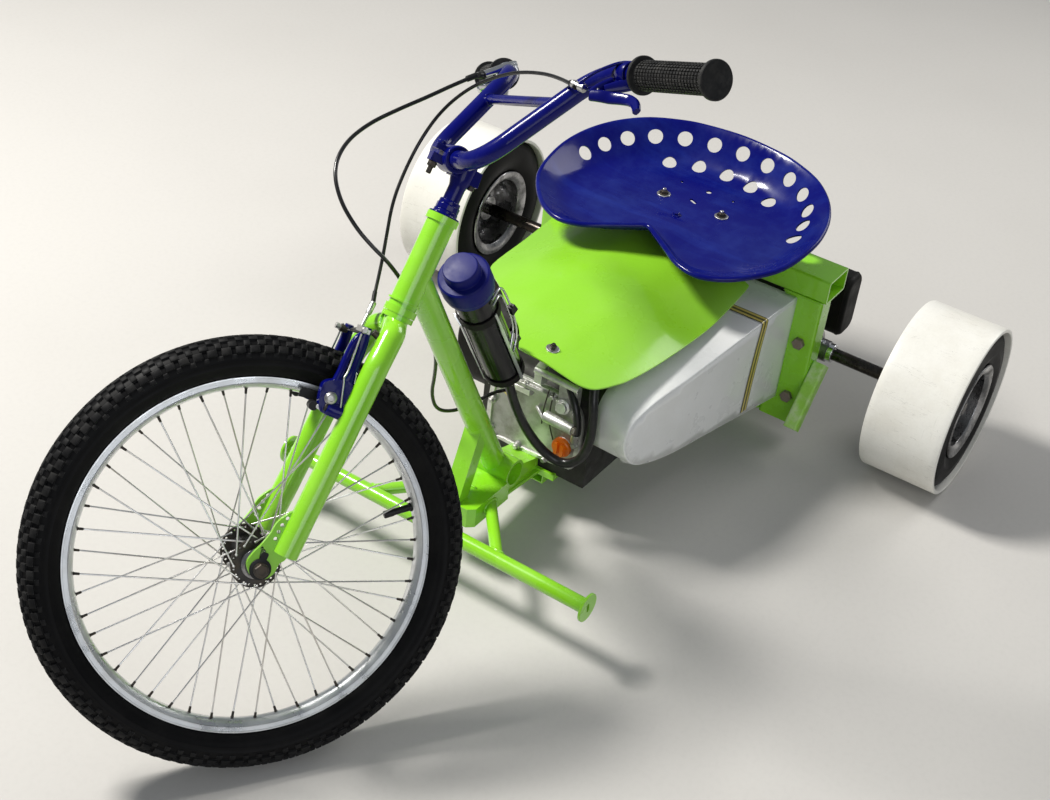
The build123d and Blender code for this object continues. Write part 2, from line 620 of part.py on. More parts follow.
with BuildPart() as front_axle:
    for start, length, r in ((-64, 128, HUB_AXLE_R), (55.05, 8, 8.5), (-63.05, 8, 8.5)):
        with BuildSketch(Plane(origin=hub + side * start, z_dir=side)):
            Circle(r)
        extrude(amount=length)
pieces["front_axle"] = front_axle

QUILL_R = 10.0
with BuildPart() as headset:
    for start, length, r in ((HEAD_TOP + 0.3, 2.2, 18.5), (HEAD_TOP + 2.5, 17, 14)):
        with BuildSketch(steer.offset(start)):
            Circle(r)
        extrude(amount=length)
    with BuildSketch(steer.offset(HEAD_TOP)):
        Circle(QUILL_R + 0.05)
    extrude(amount=30, mode=Mode.SUBTRACT)
pieces["headset"] = headset

CLAMP_A, CLAMP_S = 18.4, 784.5
with BuildPart() as stem:
    with BuildSketch(steer.offset(HEAD_TOP + 0.3)):
        Circle(QUILL_R)
    extrude(amount=788 - HEAD_TOP)
    with BuildSketch(steer.offset(765)):
        with Locations((-4, 0)):
            Rectangle(34, 22)
        with Locations((38, 0)):
            Rectangle(16, 16)
    extrude(amount=26)
    with BuildSketch(Plane(origin=st(CLAMP_A, -19.5, CLAMP_S), z_dir=side)):
        Circle(16.5)
    extrude(amount=39)
    with BuildSketch(steer.offset(756)):
        with Locations((39.5, 0)):
            Circle(4)
    extrude(amount=10)
    with BuildSketch(Plane(origin=st(CLAMP_A, -26, CLAMP_S), z_dir=side)):
        Circle(BAR_R + FIT)
    extrude(amount=52, mode=Mode.SUBTRACT)
pieces["stem"] = stem

BAR_END, BAR_BEND, BAR_CORNER = (-85.4, 329.1, 938.1), (-49.8, 138.1, 927.1), (CLAMP_A, 82.7, CLAMP_S)
BAR_ROUTE = (BAR_END, BAR_BEND, BAR_CORNER)
bar_points = [st(a, w, s) for a, w, s in BAR_ROUTE] + [st(a, -w, s) for a, w, s in reversed(BAR_ROUTE)]
handlebar = bent(bar_points, BAR_R, [60, 55, 55, 60])
pieces["handlebar"] = handlebar

with BuildPart() as crossbar:
    with BuildSketch(Plane(origin=st(-27.3, -119.8, 880), z_dir=side)):
        Circle(6)
    extrude(amount=239.6)
    for hand in (1, -1):
        low, high = [st(a, hand * w, s) for a, w, s in (BAR_CORNER, BAR_BEND)]
        with BuildSketch(Plane(origin=low, z_dir=high - low)):
            Circle(BAR_R + 0.05)
        extrude(amount=(high - low).length, mode=Mode.SUBTRACT)
    pieces_left = crossbar.part.solids().sort_by(SortBy.VOLUME)
pieces["crossbar"] = crossbar

with BuildPart() as grips:
    for hand in (1, -1):
        bend, outer = [st(a, hand * w, s) for a, w, s in (BAR_BEND, BAR_END)]
        along = (outer - bend).normalized()
        inner = outer - along * 131.8
        for start, length, r in ((8, 4, 21), (12, 116, 16), (128, 3.8, 21)):
            with BuildSketch(Plane(origin=inner + along * start, z_dir=along)):
                Circle(r)
            extrude(amount=length)
        with BuildSketch(Plane(origin=inner, z_dir=along)):
            Circle(BAR_R + 0.05)
        extrude(amount=(outer - inner).length + 0.05, mode=Mode.SUBTRACT)
pieces["grips"] = grips

# hand levers: a clamp ring on the bar, an arm and a bent blade
LEVERS = (  # name, hand, blade route in the steering frame
    ("brake_lever", 1, ((-27, 180, 893), (-44, 207, 896), (-57, 229, 895.5), (-61, 240, 884))),
    ("throttle_lever", -1, ((-30, 180, 896), (-48, 207, 898), (-62, 232, 899), (-70, 250, 897))),
)
for name, hand, route in LEVERS:
    low, high = [st(a, hand * w, s) for a, w, s in (BAR_BEND, BAR_END)]
    along = (high - low).normalized()
    middle = low + along * 46.8
    with BuildPart() as lever:
        with BuildSketch(Plane(origin=middle - along * 8, z_dir=along)):
            Circle(15)
        extrude(amount=16)
        route_points = [st(a, hand * w, s) for a, w, s in route]
        add(rod(middle, route_points[0], 6.5).part)
        add(bent(route_points, 5, [25, 12]).part)
        with BuildSketch(Plane(origin=middle - along * 12, z_dir=along)):
            Circle(BAR_R + 0.05)
        extrude(amount=24, mode=Mode.SUBTRACT)
    pieces[name] = lever

# rim brake: two arms on the fork's front, each with its pad
with BuildPart() as brake_arms:
    for hand in (1, -1):
        add(bent([st(24, hand * 52, 472), st(41, hand * 43, 477), st(35, hand * 39, 520), st(32, hand * 32, 567)], 6.5, [8, 60]).part)
        with BuildSketch(Plane(origin=st(41, hand * 46, 478), z_dir=side * (-hand))):
            Circle(5)
        extrude(amount=24)
        with BuildSketch(Plane(origin=st(47, hand * 22.5, 476), x_dir=ahead, z_dir=side * (-hand))):
            Rectangle(54, 11)
        extrude(amount=7.5)
    for hand in (1, -1):
        with BuildSketch(Plane(origin=st(14.3, hand * 50, 535), z_dir=st(17, hand * 53, 420) - st(14, hand * 49.5, 535))):
            Circle(LEG_R + 0.1)
        extrude(amount=120, mode=Mode.SUBTRACT)
pieces["brake_arms"] = brake_arms

# ------------------------------------------------------------ cables and hose
CABLE_R = 2.5
BRAKE_ROUTE = (  # steering frame: lever, across in front of the bar, down to the brake
    (-20, 162, 895.5), (-14, 110, 906), (6, 58, 901), (17, 12, 889), (29, -26, 868), (40, -50, 834),
    (45, -61, 794), (47, -60, 750), (46, -54, 712), (38, -46, 674), (30, -37, 634), (27, -20, 594),
)
brake_points = [st(a, w, s) for a, w, s in BRAKE_ROUTE]
brake_cable = bent(brake_points, CABLE_R, cable_radii(brake_points, "brake_cable"))
report_volume("brake_cable", brake_cable, CABLE_R)
pieces["brake_cable"] = brake_cable

UPPER_ROUTE = (
    (-14, -156, 905), (9, -150, 881), (34, -141, 853), (64, -129, 822), (95, -114, 788), (117, -94, 753),
    (122, -72, 719), (106, -52, 689), (77, -40, 667), (50, -35, 655), (29, -33, 648),
)
below = at(741, -29, 483)
split_point = (st(*UPPER_ROUTE[-1]) + below) / 2      # the throttle cable passes the steering joint here
past = (below - st(*UPPER_ROUTE[-1])).normalized() * 6
# the two lengths meet square to the steering axis, so one turns over the other
upper_end = Plane(origin=split_point, z_dir=up_axis)
lower_end = Plane(origin=split_point - up_axis * 0.05, z_dir=up_axis * -1)
upper_points = [st(a, w, s) for a, w, s in UPPER_ROUTE] + [split_point + past]
throttle_cable_upper = bent(upper_points, CABLE_R, cable_radii(upper_points, "throttle_cable_upper"), cut=upper_end)
report_volume("throttle_cable_upper", throttle_cable_upper, CABLE_R)
pieces["throttle_cable_upper"] = throttle_cable_upper

LOWER_ROUTE = (  # ahead of the axle, y, height: along the right of the down tube
    (727, -27.5, 458), (706, -26, 424), (681, -25, 380), (660, -29, 335), (644, -40, 292),
    (634, -51, 250), (618, -51, 214), (588, -38, 204), (556, -26, 210), (524, -18, 213), (497, -9, 205),
)
lower_points = [split_point - past, below] + [at(*p) for p in LOWER_ROUTE]
throttle_cable_lower = bent(lower_points, CABLE_R, cable_radii(lower_points, "throttle_cable_lower"), cut=lower_end)
report_volume("throttle_cable_lower", throttle_cable_lower, CABLE_R)
pieces["throttle_cable_lower"] = throttle_cable_lower

HOSE_R = 6.75
HOSE_ROUTE = (  # from the bottle's foot, under the oil cap, up behind the hood
    (555.5, 12, 271.5), (546, 12, 252), (535, 17, 214), (520, 28, 172), (504, 48, 134), (492, 77, 114),
    (487, 104, 132), (484, 113, 168), (479, 110, 206), (470, 100, 238), (452, 92, 256),
)
hose_points = [at(*p) for p in HOSE_ROUTE]
fuel_hose = bent(hose_points, HOSE_R, cable_radii(hose_points, "fuel_hose"))
report_volume("fuel_hose", fuel_hose, HOSE_R)
pieces["fuel_hose"] = fuel_hose

# ------------------------------------------------------------ write the parts
os.makedirs("parts", exist_ok=True)
for name, piece in pieces.items():
    piece.part.label = name
    export_step(piece.part, f"parts/{name}.step")
box = Compound(children=[p.part for p in pieces.values()]).bounding_box()
print("box", box.min, box.max, "pieces", len(pieces), "origin shift", round(X0, 3))
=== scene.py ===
import random
from math import acos, atan2, cos, degrees, hypot, pi, radians, sin, sqrt, tan

import bmesh
import bpy
import numpy as np
from mathutils import Matrix, Vector
from mathutils.geometry import delaunay_2d_cdt


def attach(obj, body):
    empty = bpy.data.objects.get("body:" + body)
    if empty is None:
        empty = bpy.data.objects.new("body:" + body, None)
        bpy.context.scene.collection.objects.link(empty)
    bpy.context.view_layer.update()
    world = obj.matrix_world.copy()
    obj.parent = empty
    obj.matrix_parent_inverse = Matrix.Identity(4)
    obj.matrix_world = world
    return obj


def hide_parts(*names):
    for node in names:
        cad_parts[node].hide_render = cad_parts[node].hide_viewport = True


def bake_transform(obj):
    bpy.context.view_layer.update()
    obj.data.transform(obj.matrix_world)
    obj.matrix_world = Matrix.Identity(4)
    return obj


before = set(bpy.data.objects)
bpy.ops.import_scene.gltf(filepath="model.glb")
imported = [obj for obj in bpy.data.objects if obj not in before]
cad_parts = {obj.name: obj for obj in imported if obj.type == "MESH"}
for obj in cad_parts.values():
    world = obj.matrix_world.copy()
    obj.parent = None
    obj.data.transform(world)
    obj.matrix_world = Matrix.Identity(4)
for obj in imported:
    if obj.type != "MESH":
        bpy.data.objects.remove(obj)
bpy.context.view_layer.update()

scene = bpy.context.scene
random.seed(7)

# ------------------------------------------------------------------ frames
X0 = 547.0995429351639          # the row's origin, ahead of the rear axle, mm
MM = 0.001
RAKE, TURN = radians(38.28), radians(41.5)
U = Vector((-sin(RAKE), 0, cos(RAKE)))
AHEAD0 = Vector((cos(RAKE), 0, sin(RAKE)))
L = AHEAD0 * cos(TURN) - Vector((0, 1, 0)) * sin(TURN)
W = Vector((0, 1, 0)) * cos(TURN) + AHEAD0 * sin(TURN)
HUB_A = 40.4
HUB_S = (230.1 * sqrt(1 - W.z ** 2) + 25.7 - HUB_A * L.z) / U.z


def P(x, y, z):
    """A point ahead of the rear axle, in mm, as a point of the row frame."""
    return Vector(((x - X0) * MM, y * MM, z * MM))


ST0 = P(1153.3, 0, 0)


def S(a, w, s):
    """A point of the steering frame, in mm: ahead of the axis, left, along it."""
    return ST0 + (L * a + W * w + U * s) * MM


def axes(origin, z, x=None):
    """A placement in mm with its z along z and its x near x."""
    z = z.normalized()
    if x is None:
        x = Vector((1, 0, 0)) if abs(z.x) < 0.8 else Vector((0, 1, 0))
    x = (x - z * x.dot(z)).normalized()
    y = z.cross(x)
    m = Matrix.Identity(4)
    for i, c in enumerate((x, y, z)):
        for j in range(3):
            m[j][i] = c[j] * MM
    for j in range(3):
        m[j][3] = origin[j]
    return m


STM = axes(ST0, U, L)                      # x ahead, y left, z along the axis
VM = axes(P(0, 0, 0), Vector((0, 0, 1)), Vector((1, 0, 0)))
HUB = S(HUB_A, 0, HUB_S)
WHEEL = axes(HUB, W, L)                    # z along the front axle
REAR = axes(P(0, 0, 134), Vector((0, 1, 0)), Vector((1, 0, 0)))   # z to the left, x ahead


# ------------------------------------------------------------------ mesh tools
def smooth_loop(pts, n=6, closed=True):
    """A Catmull-Rom curve through the points."""
    pts = [np.array(p, float) for p in pts]
    m, out = len(pts), []
    for i in range(m if closed else m - 1):
        if closed:
            p0, p1, p2, p3 = (pts[(i + j - 1) % m] for j in range(4))
        else:
            p0, p1, p2, p3 = (pts[min(max(i + j - 1, 0), m - 1)] for j in range(4))
        for k in range(n):
            t = k / n
            out.append(0.5 * (2 * p1 + (p2 - p0) * t + (2 * p0 - 5 * p1 + 4 * p2 - p3) * t * t
                              + (3 * p1 - p0 - 3 * p2 + p3) * t ** 3))
    if not closed:
        out.append(pts[-1])
    return [tuple(p) for p in out]


def circle2(cx, cy, r, n=24, r2=None, turn=0.0):
    r2 = r if r2 is None else r2
    out = []
    for i in range(n):
        a = 2 * pi * i / n
        x, y = r * cos(a), r2 * sin(a)
        out.append((cx + x * cos(turn) - y * sin(turn), cy + x * sin(turn) + y * cos(turn)))
    return out


def rounded2(cx, cy, w, h, r, n=5, turn=0.0):
    out = []
    for qx, qy, a0 in ((1, 1, 0), (-1, 1, 90), (-1, -1, 180), (1, -1, 270)):
        for i in range(n + 1):
            a = radians(a0 + 90 * i / n)
            x, y = qx * (w / 2 - r) + r * cos(a), qy * (h / 2 - r) + r * sin(a)
            out.append((cx + x * cos(turn) - y * sin(turn), cy + x * sin(turn) + y * cos(turn)))
    return out


def inside(poly, pts):
    """Which points lie in the polygon."""
    poly, pts = np.array(poly, float), np.array(pts, float)
    res = np.zeros(len(pts), bool)
    x, y = pts[:, 0], pts[:, 1]
    j = len(poly) - 1
    for i in range(len(poly)):
        xi, yi = poly[i]
        xj, yj = poly[j]
        if yi != yj:
            c = ((yi > y) != (yj > y)) & (x < (xj - xi) * (y - yi) / (yj - yi) + xi)
            res ^= c
        j = i
    return res


def fill2(outline, holes=(), spacing=None):
    """Triangles over a flat outline with holes: (points, triangles, loops of point numbers)."""
    loops = [list(outline)] + [list(h) for h in holes]
    pts, edges, sets = [], [], []
    for lp in loops:
        b = len(pts)
        pts += [tuple(p) for p in lp]
        edges += [(b + i, b + (i + 1) % len(lp)) for i in range(len(lp))]
        sets.append(list(range(b, b + len(lp))))
    if spacing:
        arr = np.array(outline)
        lo, hi = arr.min(0), arr.max(0)
        grid = []
        rows = int((hi[1] - lo[1]) / (spacing * 0.866)) + 1
        for r in range(rows + 1):
            y = lo[1] + r * spacing * 0.866
            for c in range(int((hi[0] - lo[0]) / spacing) + 2):
                grid.append((lo[0] + (c + 0.5 * (r % 2)) * spacing, y))
        grid = np.array(grid)
        keep = inside(outline, grid)
        for h in holes:
            keep &= ~inside(h, grid)
        grid = grid[keep]
        seg = np.array([(*pts[a], *pts[b]) for a, b in edges])
        a, b = seg[:, :2], seg[:, 2:]
        ab = b - a
        near = np.full(len(grid), 1e9)
        for i in range(len(seg)):
            t = np.clip(((grid - a[i]) @ ab[i]) / max(ab[i] @ ab[i], 1e-9), 0, 1)
            near = np.minimum(near, np.hypot(*(grid - a[i] - t[:, None] * ab[i]).T))
        pts += [tuple(p) for p in grid[near > spacing * 0.42]]
    v, _e, f, ov, _oe, _of = delaunay_2d_cdt([Vector(p) for p in pts], edges, [], 0, 1e-5)
    v = np.array([tuple(p) for p in v])
    f = np.array([t for t in f if len(t) == 3])
    mid = v[f].mean(1)
    keep = inside(outline, mid)
    for h in holes:
        keep &= ~inside(h, mid)
    where = {}
    for new, olds in enumerate(ov):
        for o in olds:
            where[o] = new
    return v, [tuple(int(i) for i in t) for t in f[keep]], [[where[i] for i in s] for s in sets]


class Mesh:
    def __init__(self):
        self.v, self.f, self.k = [], [], []

    def put(self, m, verts, faces, k=0):
        b = len(self.v)
        self.v += [tuple(m @ Vector(p)) for p in verts] if m is not None else [tuple(p) for p in verts]
        self.f += [tuple(b + i for i in f) for f in faces]
        self.k += [k] * len(faces)

    def lathe(self, m, prof, n=48, k=0, closed=False, turn=0.0):
        """Turns (radius, height) about the placement's z."""
        verts, faces = [], []
        for r, h in prof:
            for i in range(n):
                a = 2 * pi * i / n + turn
                verts.append((max(r, 0) * cos(a), max(r, 0) * sin(a), h))
        rows = len(prof)
        for j in range(rows if closed else rows - 1):
            for i in range(n):
                a, b = j * n + i, j * n + (i + 1) % n
                c, d = ((j + 1) % rows) * n + (i + 1) % n, ((j + 1) % rows) * n + i
                faces.append((a, b, c, d))
        self.put(m, verts, faces, k)

    def rod(self, p, q, r, n=16, k=0, r2=None):
        d = q - p
        h = d.length / MM
        r2 = r if r2 is None else r2
        self.lathe(axes(p, d), [(0, 0), (r, 0), (r2, h), (0, h)], n, k)

    def tube(self, pts, r, n=12, k=0, caps=True):
        """A round bar along points; r may vary along it."""
        pts = [Vector(p) for p in pts]
        rs = r if hasattr(r, "__len__") else [r] * len(pts)
        t = [(pts[min(i + 1, len(pts) - 1)] - pts[max(i - 1, 0)]).normalized() for i in range(len(pts))]
        x = t[0].orthogonal().normalized()
        verts, faces = [], []
        for i, p in enumerate(pts):
            x = (x - t[i] * x.dot(t[i])).normalized()
            y = t[i].cross(x)
            for j in range(n):
                a = 2 * pi * j / n
                verts.append(p + (x * cos(a) + y * sin(a)) * rs[i] * MM)
        for i in range(len(pts) - 1):
            for j in range(n):
                faces.append((i * n + j, i * n + (j + 1) % n, (i + 1) * n + (j + 1) % n, (i + 1) * n + j))
        if caps:
            faces.append(tuple(range(n))[::-1])
            faces.append(tuple((len(pts) - 1) * n + j for j in range(n)))
        self.put(None, verts, faces, k)

    def box(self, m, lo, hi, k=0, taper=0.0):
        (x0, y0, z0), (x1, y1, z1) = lo, hi
        t = taper
        v = [(x0, y0, z0), (x1, y0, z0), (x1, y1, z0), (x0, y1, z0),
             (x0 + t, y0 + t, z1), (x1 - t, y0 + t, z1), (x1 - t, y1 - t, z1), (x0 + t, y1 - t, z1)]
        self.put(m, v, [(0, 3, 2, 1), (4, 5, 6, 7), (0, 1, 5, 4), (1, 2, 6, 5), (2, 3, 7, 6), (3, 0, 4, 7)], k)

    def plate(self, m, outline, z0, z1, holes=(), k=0):
        """A flat plate with holes, between two heights."""
        v, f, loops = fill2(outline, holes)
        n = len(v)
        verts = [(x, y, z0) for x, y in v] + [(x, y, z1) for x, y in v]
        faces = [t[::-1] for t in f] + [tuple(i + n for i in t) for t in f]
        for lp in loops:
            for i in range(len(lp)):
                a, b = lp[i], lp[(i + 1) % len(lp)]
                faces.append((a, b, b + n, a + n))
        self.put(m, verts, faces, k)

    def ball(self, c, r, n=12, k=0, squash=1.0, z=None):
        prof = [(r * sin(pi * i / (n // 2)), -r * squash * cos(pi * i / (n // 2))) for i in range(n // 2 + 1)]
        self.lathe(axes(c, z or Vector((0, 0, 1))), prof, n, k)

    def hexagon(self, m, af, h, k=0, z=0.0, hole=0.0):
        """A hexagonal head with a chamfered top, across flats af."""
        r = af / 2 / cos(pi / 6)
        prof = [(hole, z), (r, z), (r, z + h * 0.82), (r * 0.86, z + h), (hole, z + h)]
        self.lathe(m, prof, 6, k)

    def bolt(self, p, z, af=10, h=6, washer=0.0, shank=0.0, k=0, kw=None):
        """A hexagonal bolt head standing on p, along z."""
        m = axes(p, z)
        t = 0.0
        if washer:
            self.lathe(m, [(0, 0), (washer, 0), (washer, 1.1), (washer - 0.5, 1.6), (0, 1.6)], 28, k if kw is None else kw)
            t = 1.5
        self.hexagon(m, af, h, k, t)
        if shank:
            self.lathe(m, [(0, t + h), (shank, t + h), (shank, t + h + 4), (shank - 0.8, t + h + 5), (0, t + h + 5)], 16, k)

    def done(self, name, body, mats, slot=None, replaces=(), bevel=0.0, angle=38, subsurf=0, solid=0.0, weld=True, solid_offset=-1, outward=None):
        me = bpy.data.meshes.new(name)
        me.from_pydata(self.v, [], self.f)
        mats = mats if isinstance(mats, (list, tuple)) else [mats]
        for x in mats:
            me.materials.append(x)
        me.polygons.foreach_set("material_index", np.array(self.k, np.int32))
        bm = bmesh.new()
        bm.from_mesh(me)
        if weld:
            bmesh.ops.remove_doubles(bm, verts=bm.verts, dist=2e-6)
            bmesh.ops.dissolve_degenerate(bm, dist=1e-6, edges=bm.edges)
        bmesh.ops.recalc_face_normals(bm, faces=bm.faces)
        if outward is not None:            # an open sheet: its outer side faces this way
            bm.normal_update()
            if sum(f.calc_area() * f.normal.dot(outward) for f in bm.faces) < 0:
                bmesh.ops.reverse_faces(bm, faces=bm.faces)
        for f in bm.faces:
            f.smooth = True
        lim = radians(angle)
        for e in bm.edges:
            if len(e.link_faces) == 2:
                if e.calc_face_angle(0) > lim:
                    e.smooth = False
        bm.to_mesh(me)
        bm.free()
        o = bpy.data.objects.new(name, me)
        scene.collection.objects.link(o)
        if solid:
            mod = o.modifiers.new("wall", "SOLIDIFY")
            mod.thickness, mod.offset = solid * MM, solid_offset
        if bevel:
            mod = o.modifiers.new("edges", "BEVEL")
            mod.width, mod.segments, mod.limit_method = bevel * MM, 2, "ANGLE"
            mod.angle_limit = radians(max(angle, 30))
            mod.use_clamp_overlap = True
        if subsurf:
            mod = o.modifiers.new("smooth", "SUBSURF")
            mod.levels = mod.render_levels = subsurf
        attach(o, body)
        if replaces:
            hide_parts(*replaces)
        return o


def wires(name, body, routes, r, mat, res=8):
    """Round wires, each a smooth curve whose control points are given."""
    cu = bpy.data.curves.new(name, "CURVE")
    cu.dimensions = "3D"
    cu.bevel_depth = r * MM
    cu.bevel_resolution = 3
    cu.resolution_u = res
    cu.use_fill_caps = True
    for pts in routes:
        sp = cu.splines.new("NURBS")
        sp.points.add(len(pts) - 1)
        for q, p in zip(sp.points, pts):
            q.co = (*p, 1)
        sp.order_u = 3
        sp.use_endpoint_u = True
    cu.materials.append(mat)
    o = bpy.data.objects.new(name, cu)
    scene.collection.objects.link(o)
    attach(o, body)
    return o


# ------------------------------------------------------------------ materials
def hexcol(c, f=1.0):
    return (min(c[0] * f, 1), min(c[1] * f, 1), min(c[2] * f, 1), 1)


def material(name, base, rough=0.4, metal=0.0, spec=0.5, coat=0.0, coat_rough=0.04, tint=None, tint_amount=0.35,
             tint_scale=6.0, rough_var=0.08, grain=0.06, grain_scale=260.0, bump=0.04, bump_scale=380.0,
             dent=0.0, dent_scale=14.0, dust=None, dust_amount=0.3, dust_scale=9.0, wear=None, wear_amount=0.6,
             wear_width=0.7, streak=None, sheen=0.0):
    mat = bpy.data.materials.new(name)
    mat.use_nodes = True
    t = mat.node_tree
    n, l = t.nodes, t.links
    bsdf = n["Principled BSDF"]
    bsdf.inputs["Metallic"].default_value = metal
    bsdf.inputs["Specular IOR Level"].default_value = spec
    bsdf.inputs["Coat Weight"].default_value = coat
    bsdf.inputs["Coat Roughness"].default_value = coat_rough
    bsdf.inputs["Sheen Weight"].default_value = sheen
    tc = n.new("ShaderNodeTexCoord")

    def noise(scale, detail=4.0, rough_=0.55, vec=None, dist=0.0):
        x = n.new("ShaderNodeTexNoise")
        x.inputs["Scale"].default_value = scale
        x.inputs["Detail"].default_value = detail
        x.inputs["Roughness"].default_value = rough_
        x.inputs["Distortion"].default_value = dist
        l.new(vec or tc.outputs["Object"], x.inputs["Vector"])
        return x.outputs["Fac"]

    def ramp(src, lo, hi, a=0.0, b=1.0):
        x = n.new("ShaderNodeMapRange")
        x.inputs["From Min"].default_value = lo
        x.inputs["From Max"].default_value = hi
        x.inputs["To Min"].default_value = a
        x.inputs["To Max"].default_value = b
        l.new(src, x.inputs["Value"])
        return x.outputs["Result"]

    def mix(fac, a, b):
        x = n.new("ShaderNodeMix")
        x.data_type = "RGBA"
        for sock, v in ((x.inputs[0], fac), (x.inputs[6], a), (x.inputs[7], b)):
            if isinstance(v, (tuple, list)):
                sock.default_value = v
            elif isinstance(v, float):
                sock.default_value = v
            else:
                l.new(v, sock)
        return x.outputs[2]

    def mul(a, b):
        x = n.new("ShaderNodeMath")
        x.operation = "MULTIPLY"
        for sock, v in ((x.inputs[0], a), (x.inputs[1], b)):
            if isinstance(v, float):
                sock.default_value = v
            else:
                l.new(v, sock)
        return x.outputs[0]

    tint = tint or tuple(c * 0.72 for c in base)
    colour = mix(ramp(noise(tint_scale, 5.0), 0.42, 0.68, 0.0, tint_amount), hexcol(base), hexcol(tint))
    colour = mix(ramp(noise(grain_scale, 2.0), 0.45, 0.75, 0.0, grain), colour, hexcol(tuple(c * 0.45 for c in base)))
    rough_out = ramp(noise(tint_scale * 2.3, 4.0), 0.35, 0.65, max(rough - rough_var, 0.02), min(rough + rough_var, 1.0))
    if streak:
        (sc, col, amount) = streak
        mp = n.new("ShaderNodeMapping")
        mp.inputs["Scale"].default_value = sc
        l.new(tc.outputs["Object"], mp.inputs["Vector"])
        colour = mix(ramp(noise(1.0, 6.0, 0.7, mp.outputs["Vector"]), 0.52, 0.66, 0.0, amount), colour, hexcol(col))
    if dust:
        f = ramp(noise(dust_scale, 8.0, 0.68), 0.46, 0.66, 0.0, dust_amount)
        colour = mix(f, colour, hexcol(dust))
        r2 = n.new("ShaderNodeMix")
        l.new(f, r2.inputs[0])
        l.new(rough_out, r2.inputs[2])
        r2.inputs[3].default_value = min(rough + 0.4, 0.95)
        rough_out = r2.outputs[0]
    if wear:
        bev = n.new("ShaderNodeBevel")
        bev.samples = 3
        bev.inputs["Radius"].default_value = wear_width * MM
        geo = n.new("ShaderNodeNewGeometry")
        dot = n.new("ShaderNodeVectorMath")
        dot.operation = "DOT_PRODUCT"
        l.new(bev.outputs["Normal"], dot.inputs[0])
        l.new(geo.outputs["Normal"], dot.inputs[1])
        edge = ramp(dot.outputs["Value"], 0.985, 0.86)
        f = mul(edge, ramp(noise(120.0, 6.0, 0.7), 0.45, 0.6, 0.0, wear_amount))
        colour = mix(f, colour, hexcol(wear))
    l.new(colour, bsdf.inputs["Base Color"])
    l.new(rough_out, bsdf.inputs["Roughness"])
    height = noise(bump_scale, 3.0)
    b = n.new("ShaderNodeBump")
    b.inputs["Strength"].default_value = bump
    b.inputs["Distance"].default_value = 0.0006
    l.new(height, b.inputs["Height"])
    out = b.outputs["Normal"]
    if dent:
        b2 = n.new("ShaderNodeBump")
        b2.inputs["Strength"].default_value = dent
        b2.inputs["Distance"].default_value = 0.004
        l.new(noise(dent_scale, 3.0), b2.inputs["Height"])
        l.new(out, b2.inputs["Normal"])
        out = b2.outputs["Normal"]
    l.new(out, bsdf.inputs["Normal"])
    if coat:
        l.new(out, bsdf.inputs["Coat Normal"])
    return mat


LIME = (0.265, 0.66, 0.020)
BLUE = (0.0006, 0.0016, 0.118)
lime = material("lime_paint", LIME, 0.26, coat=0.7, coat_rough=0.05, tint=(0.21, 0.60, 0.006), tint_amount=0.5, dust=(0.42, 0.62, 0.17),
                dust_amount=0.13, dust_scale=14, wear=(0.56, 0.80, 0.26), wear_amount=0.5, wear_width=0.8, dent=0.12, dent_scale=24)
lime_flat = material("lime_sheet", (0.275, 0.63, 0.027), 0.30, coat=0.5, coat_rough=0.09, tint=(0.26, 0.64, 0.018), tint_amount=0.6, tint_scale=4,
                     dust=(0.46, 0.66, 0.22), dust_amount=0.10, dust_scale=7, dent=0.10, dent_scale=9)
lime_dusty = material("lime_dusty", (0.33, 0.66, 0.08), 0.46, coat=0.25, tint=(0.26, 0.62, 0.02), dust=(0.60, 0.74, 0.42), dust_amount=0.85,
                      dust_scale=30, wear=(0.6, 0.8, 0.4), dent=0.3, dent_scale=60)
blue = material("blue_paint", BLUE, 0.20, spec=0.16, coat=0.16, coat_rough=0.035, tint=(0.001, 0.002, 0.085), tint_amount=0.6, tint_scale=9,
                dust=(0.03, 0.05, 0.24), dust_amount=0.10, dust_scale=24, wear=(0.01, 0.02, 0.24), wear_amount=0.3, dent=0.14, dent_scale=30)
blue_seat = material("blue_seat", (0.0006, 0.0020, 0.125), 0.22, spec=0.16, coat=0.16, coat_rough=0.05, tint=(0.001, 0.003, 0.095), tint_amount=0.6, tint_scale=5,
                     dust=(0.04, 0.08, 0.34), dust_amount=0.14, dust_scale=11, dent=0.12, dent_scale=12,
                     streak=((30.0, 4.0, 12.0), (0.01, 0.03, 0.26), 0.22))
white = material("white_panel", (0.80, 0.81, 0.80), 0.30, coat=0.5, coat_rough=0.10, tint=(0.70, 0.71, 0.71), tint_amount=0.5, tint_scale=5,
                 dust=(0.62, 0.62, 0.57), dust_amount=0.22, dust_scale=10, dent=0.10, dent_scale=8)
tyre_rubber = material("tyre_rubber", (0.0055, 0.0055, 0.006), 0.60, spec=0.14, tint=(0.011, 0.011, 0.012), tint_amount=0.6, tint_scale=20,
                       dust=(0.060, 0.058, 0.054), dust_amount=0.26, dust_scale=45, bump=0.25, bump_scale=600, wear=(0.10, 0.10, 0.10), wear_amount=0.7, wear_width=0.8)
tyre_side = material("tyre_sidewall", (0.0035, 0.0035, 0.004), 0.46, spec=0.10, tint=(0.006, 0.006, 0.0065), dust=(0.026, 0.025, 0.023), dust_amount=0.14,
                     dust_scale=26, bump=0.12, bump_scale=500)
slick = material("rear_tyre", (0.0045, 0.0045, 0.005), 0.52, spec=0.12, dust=(0.035, 0.033, 0.030), dust_amount=0.22, dust_scale=22, bump=0.2, bump_scale=420)
alloy = material("rim_alloy", (0.72, 0.74, 0.76), 0.30, metal=1.0, tint=(0.52, 0.54, 0.56), tint_amount=0.6, tint_scale=12, dust=(0.40, 0.39, 0.36),
                 dust_amount=0.25, dust_scale=30, bump=0.10, bump_scale=900, rough_var=0.12)
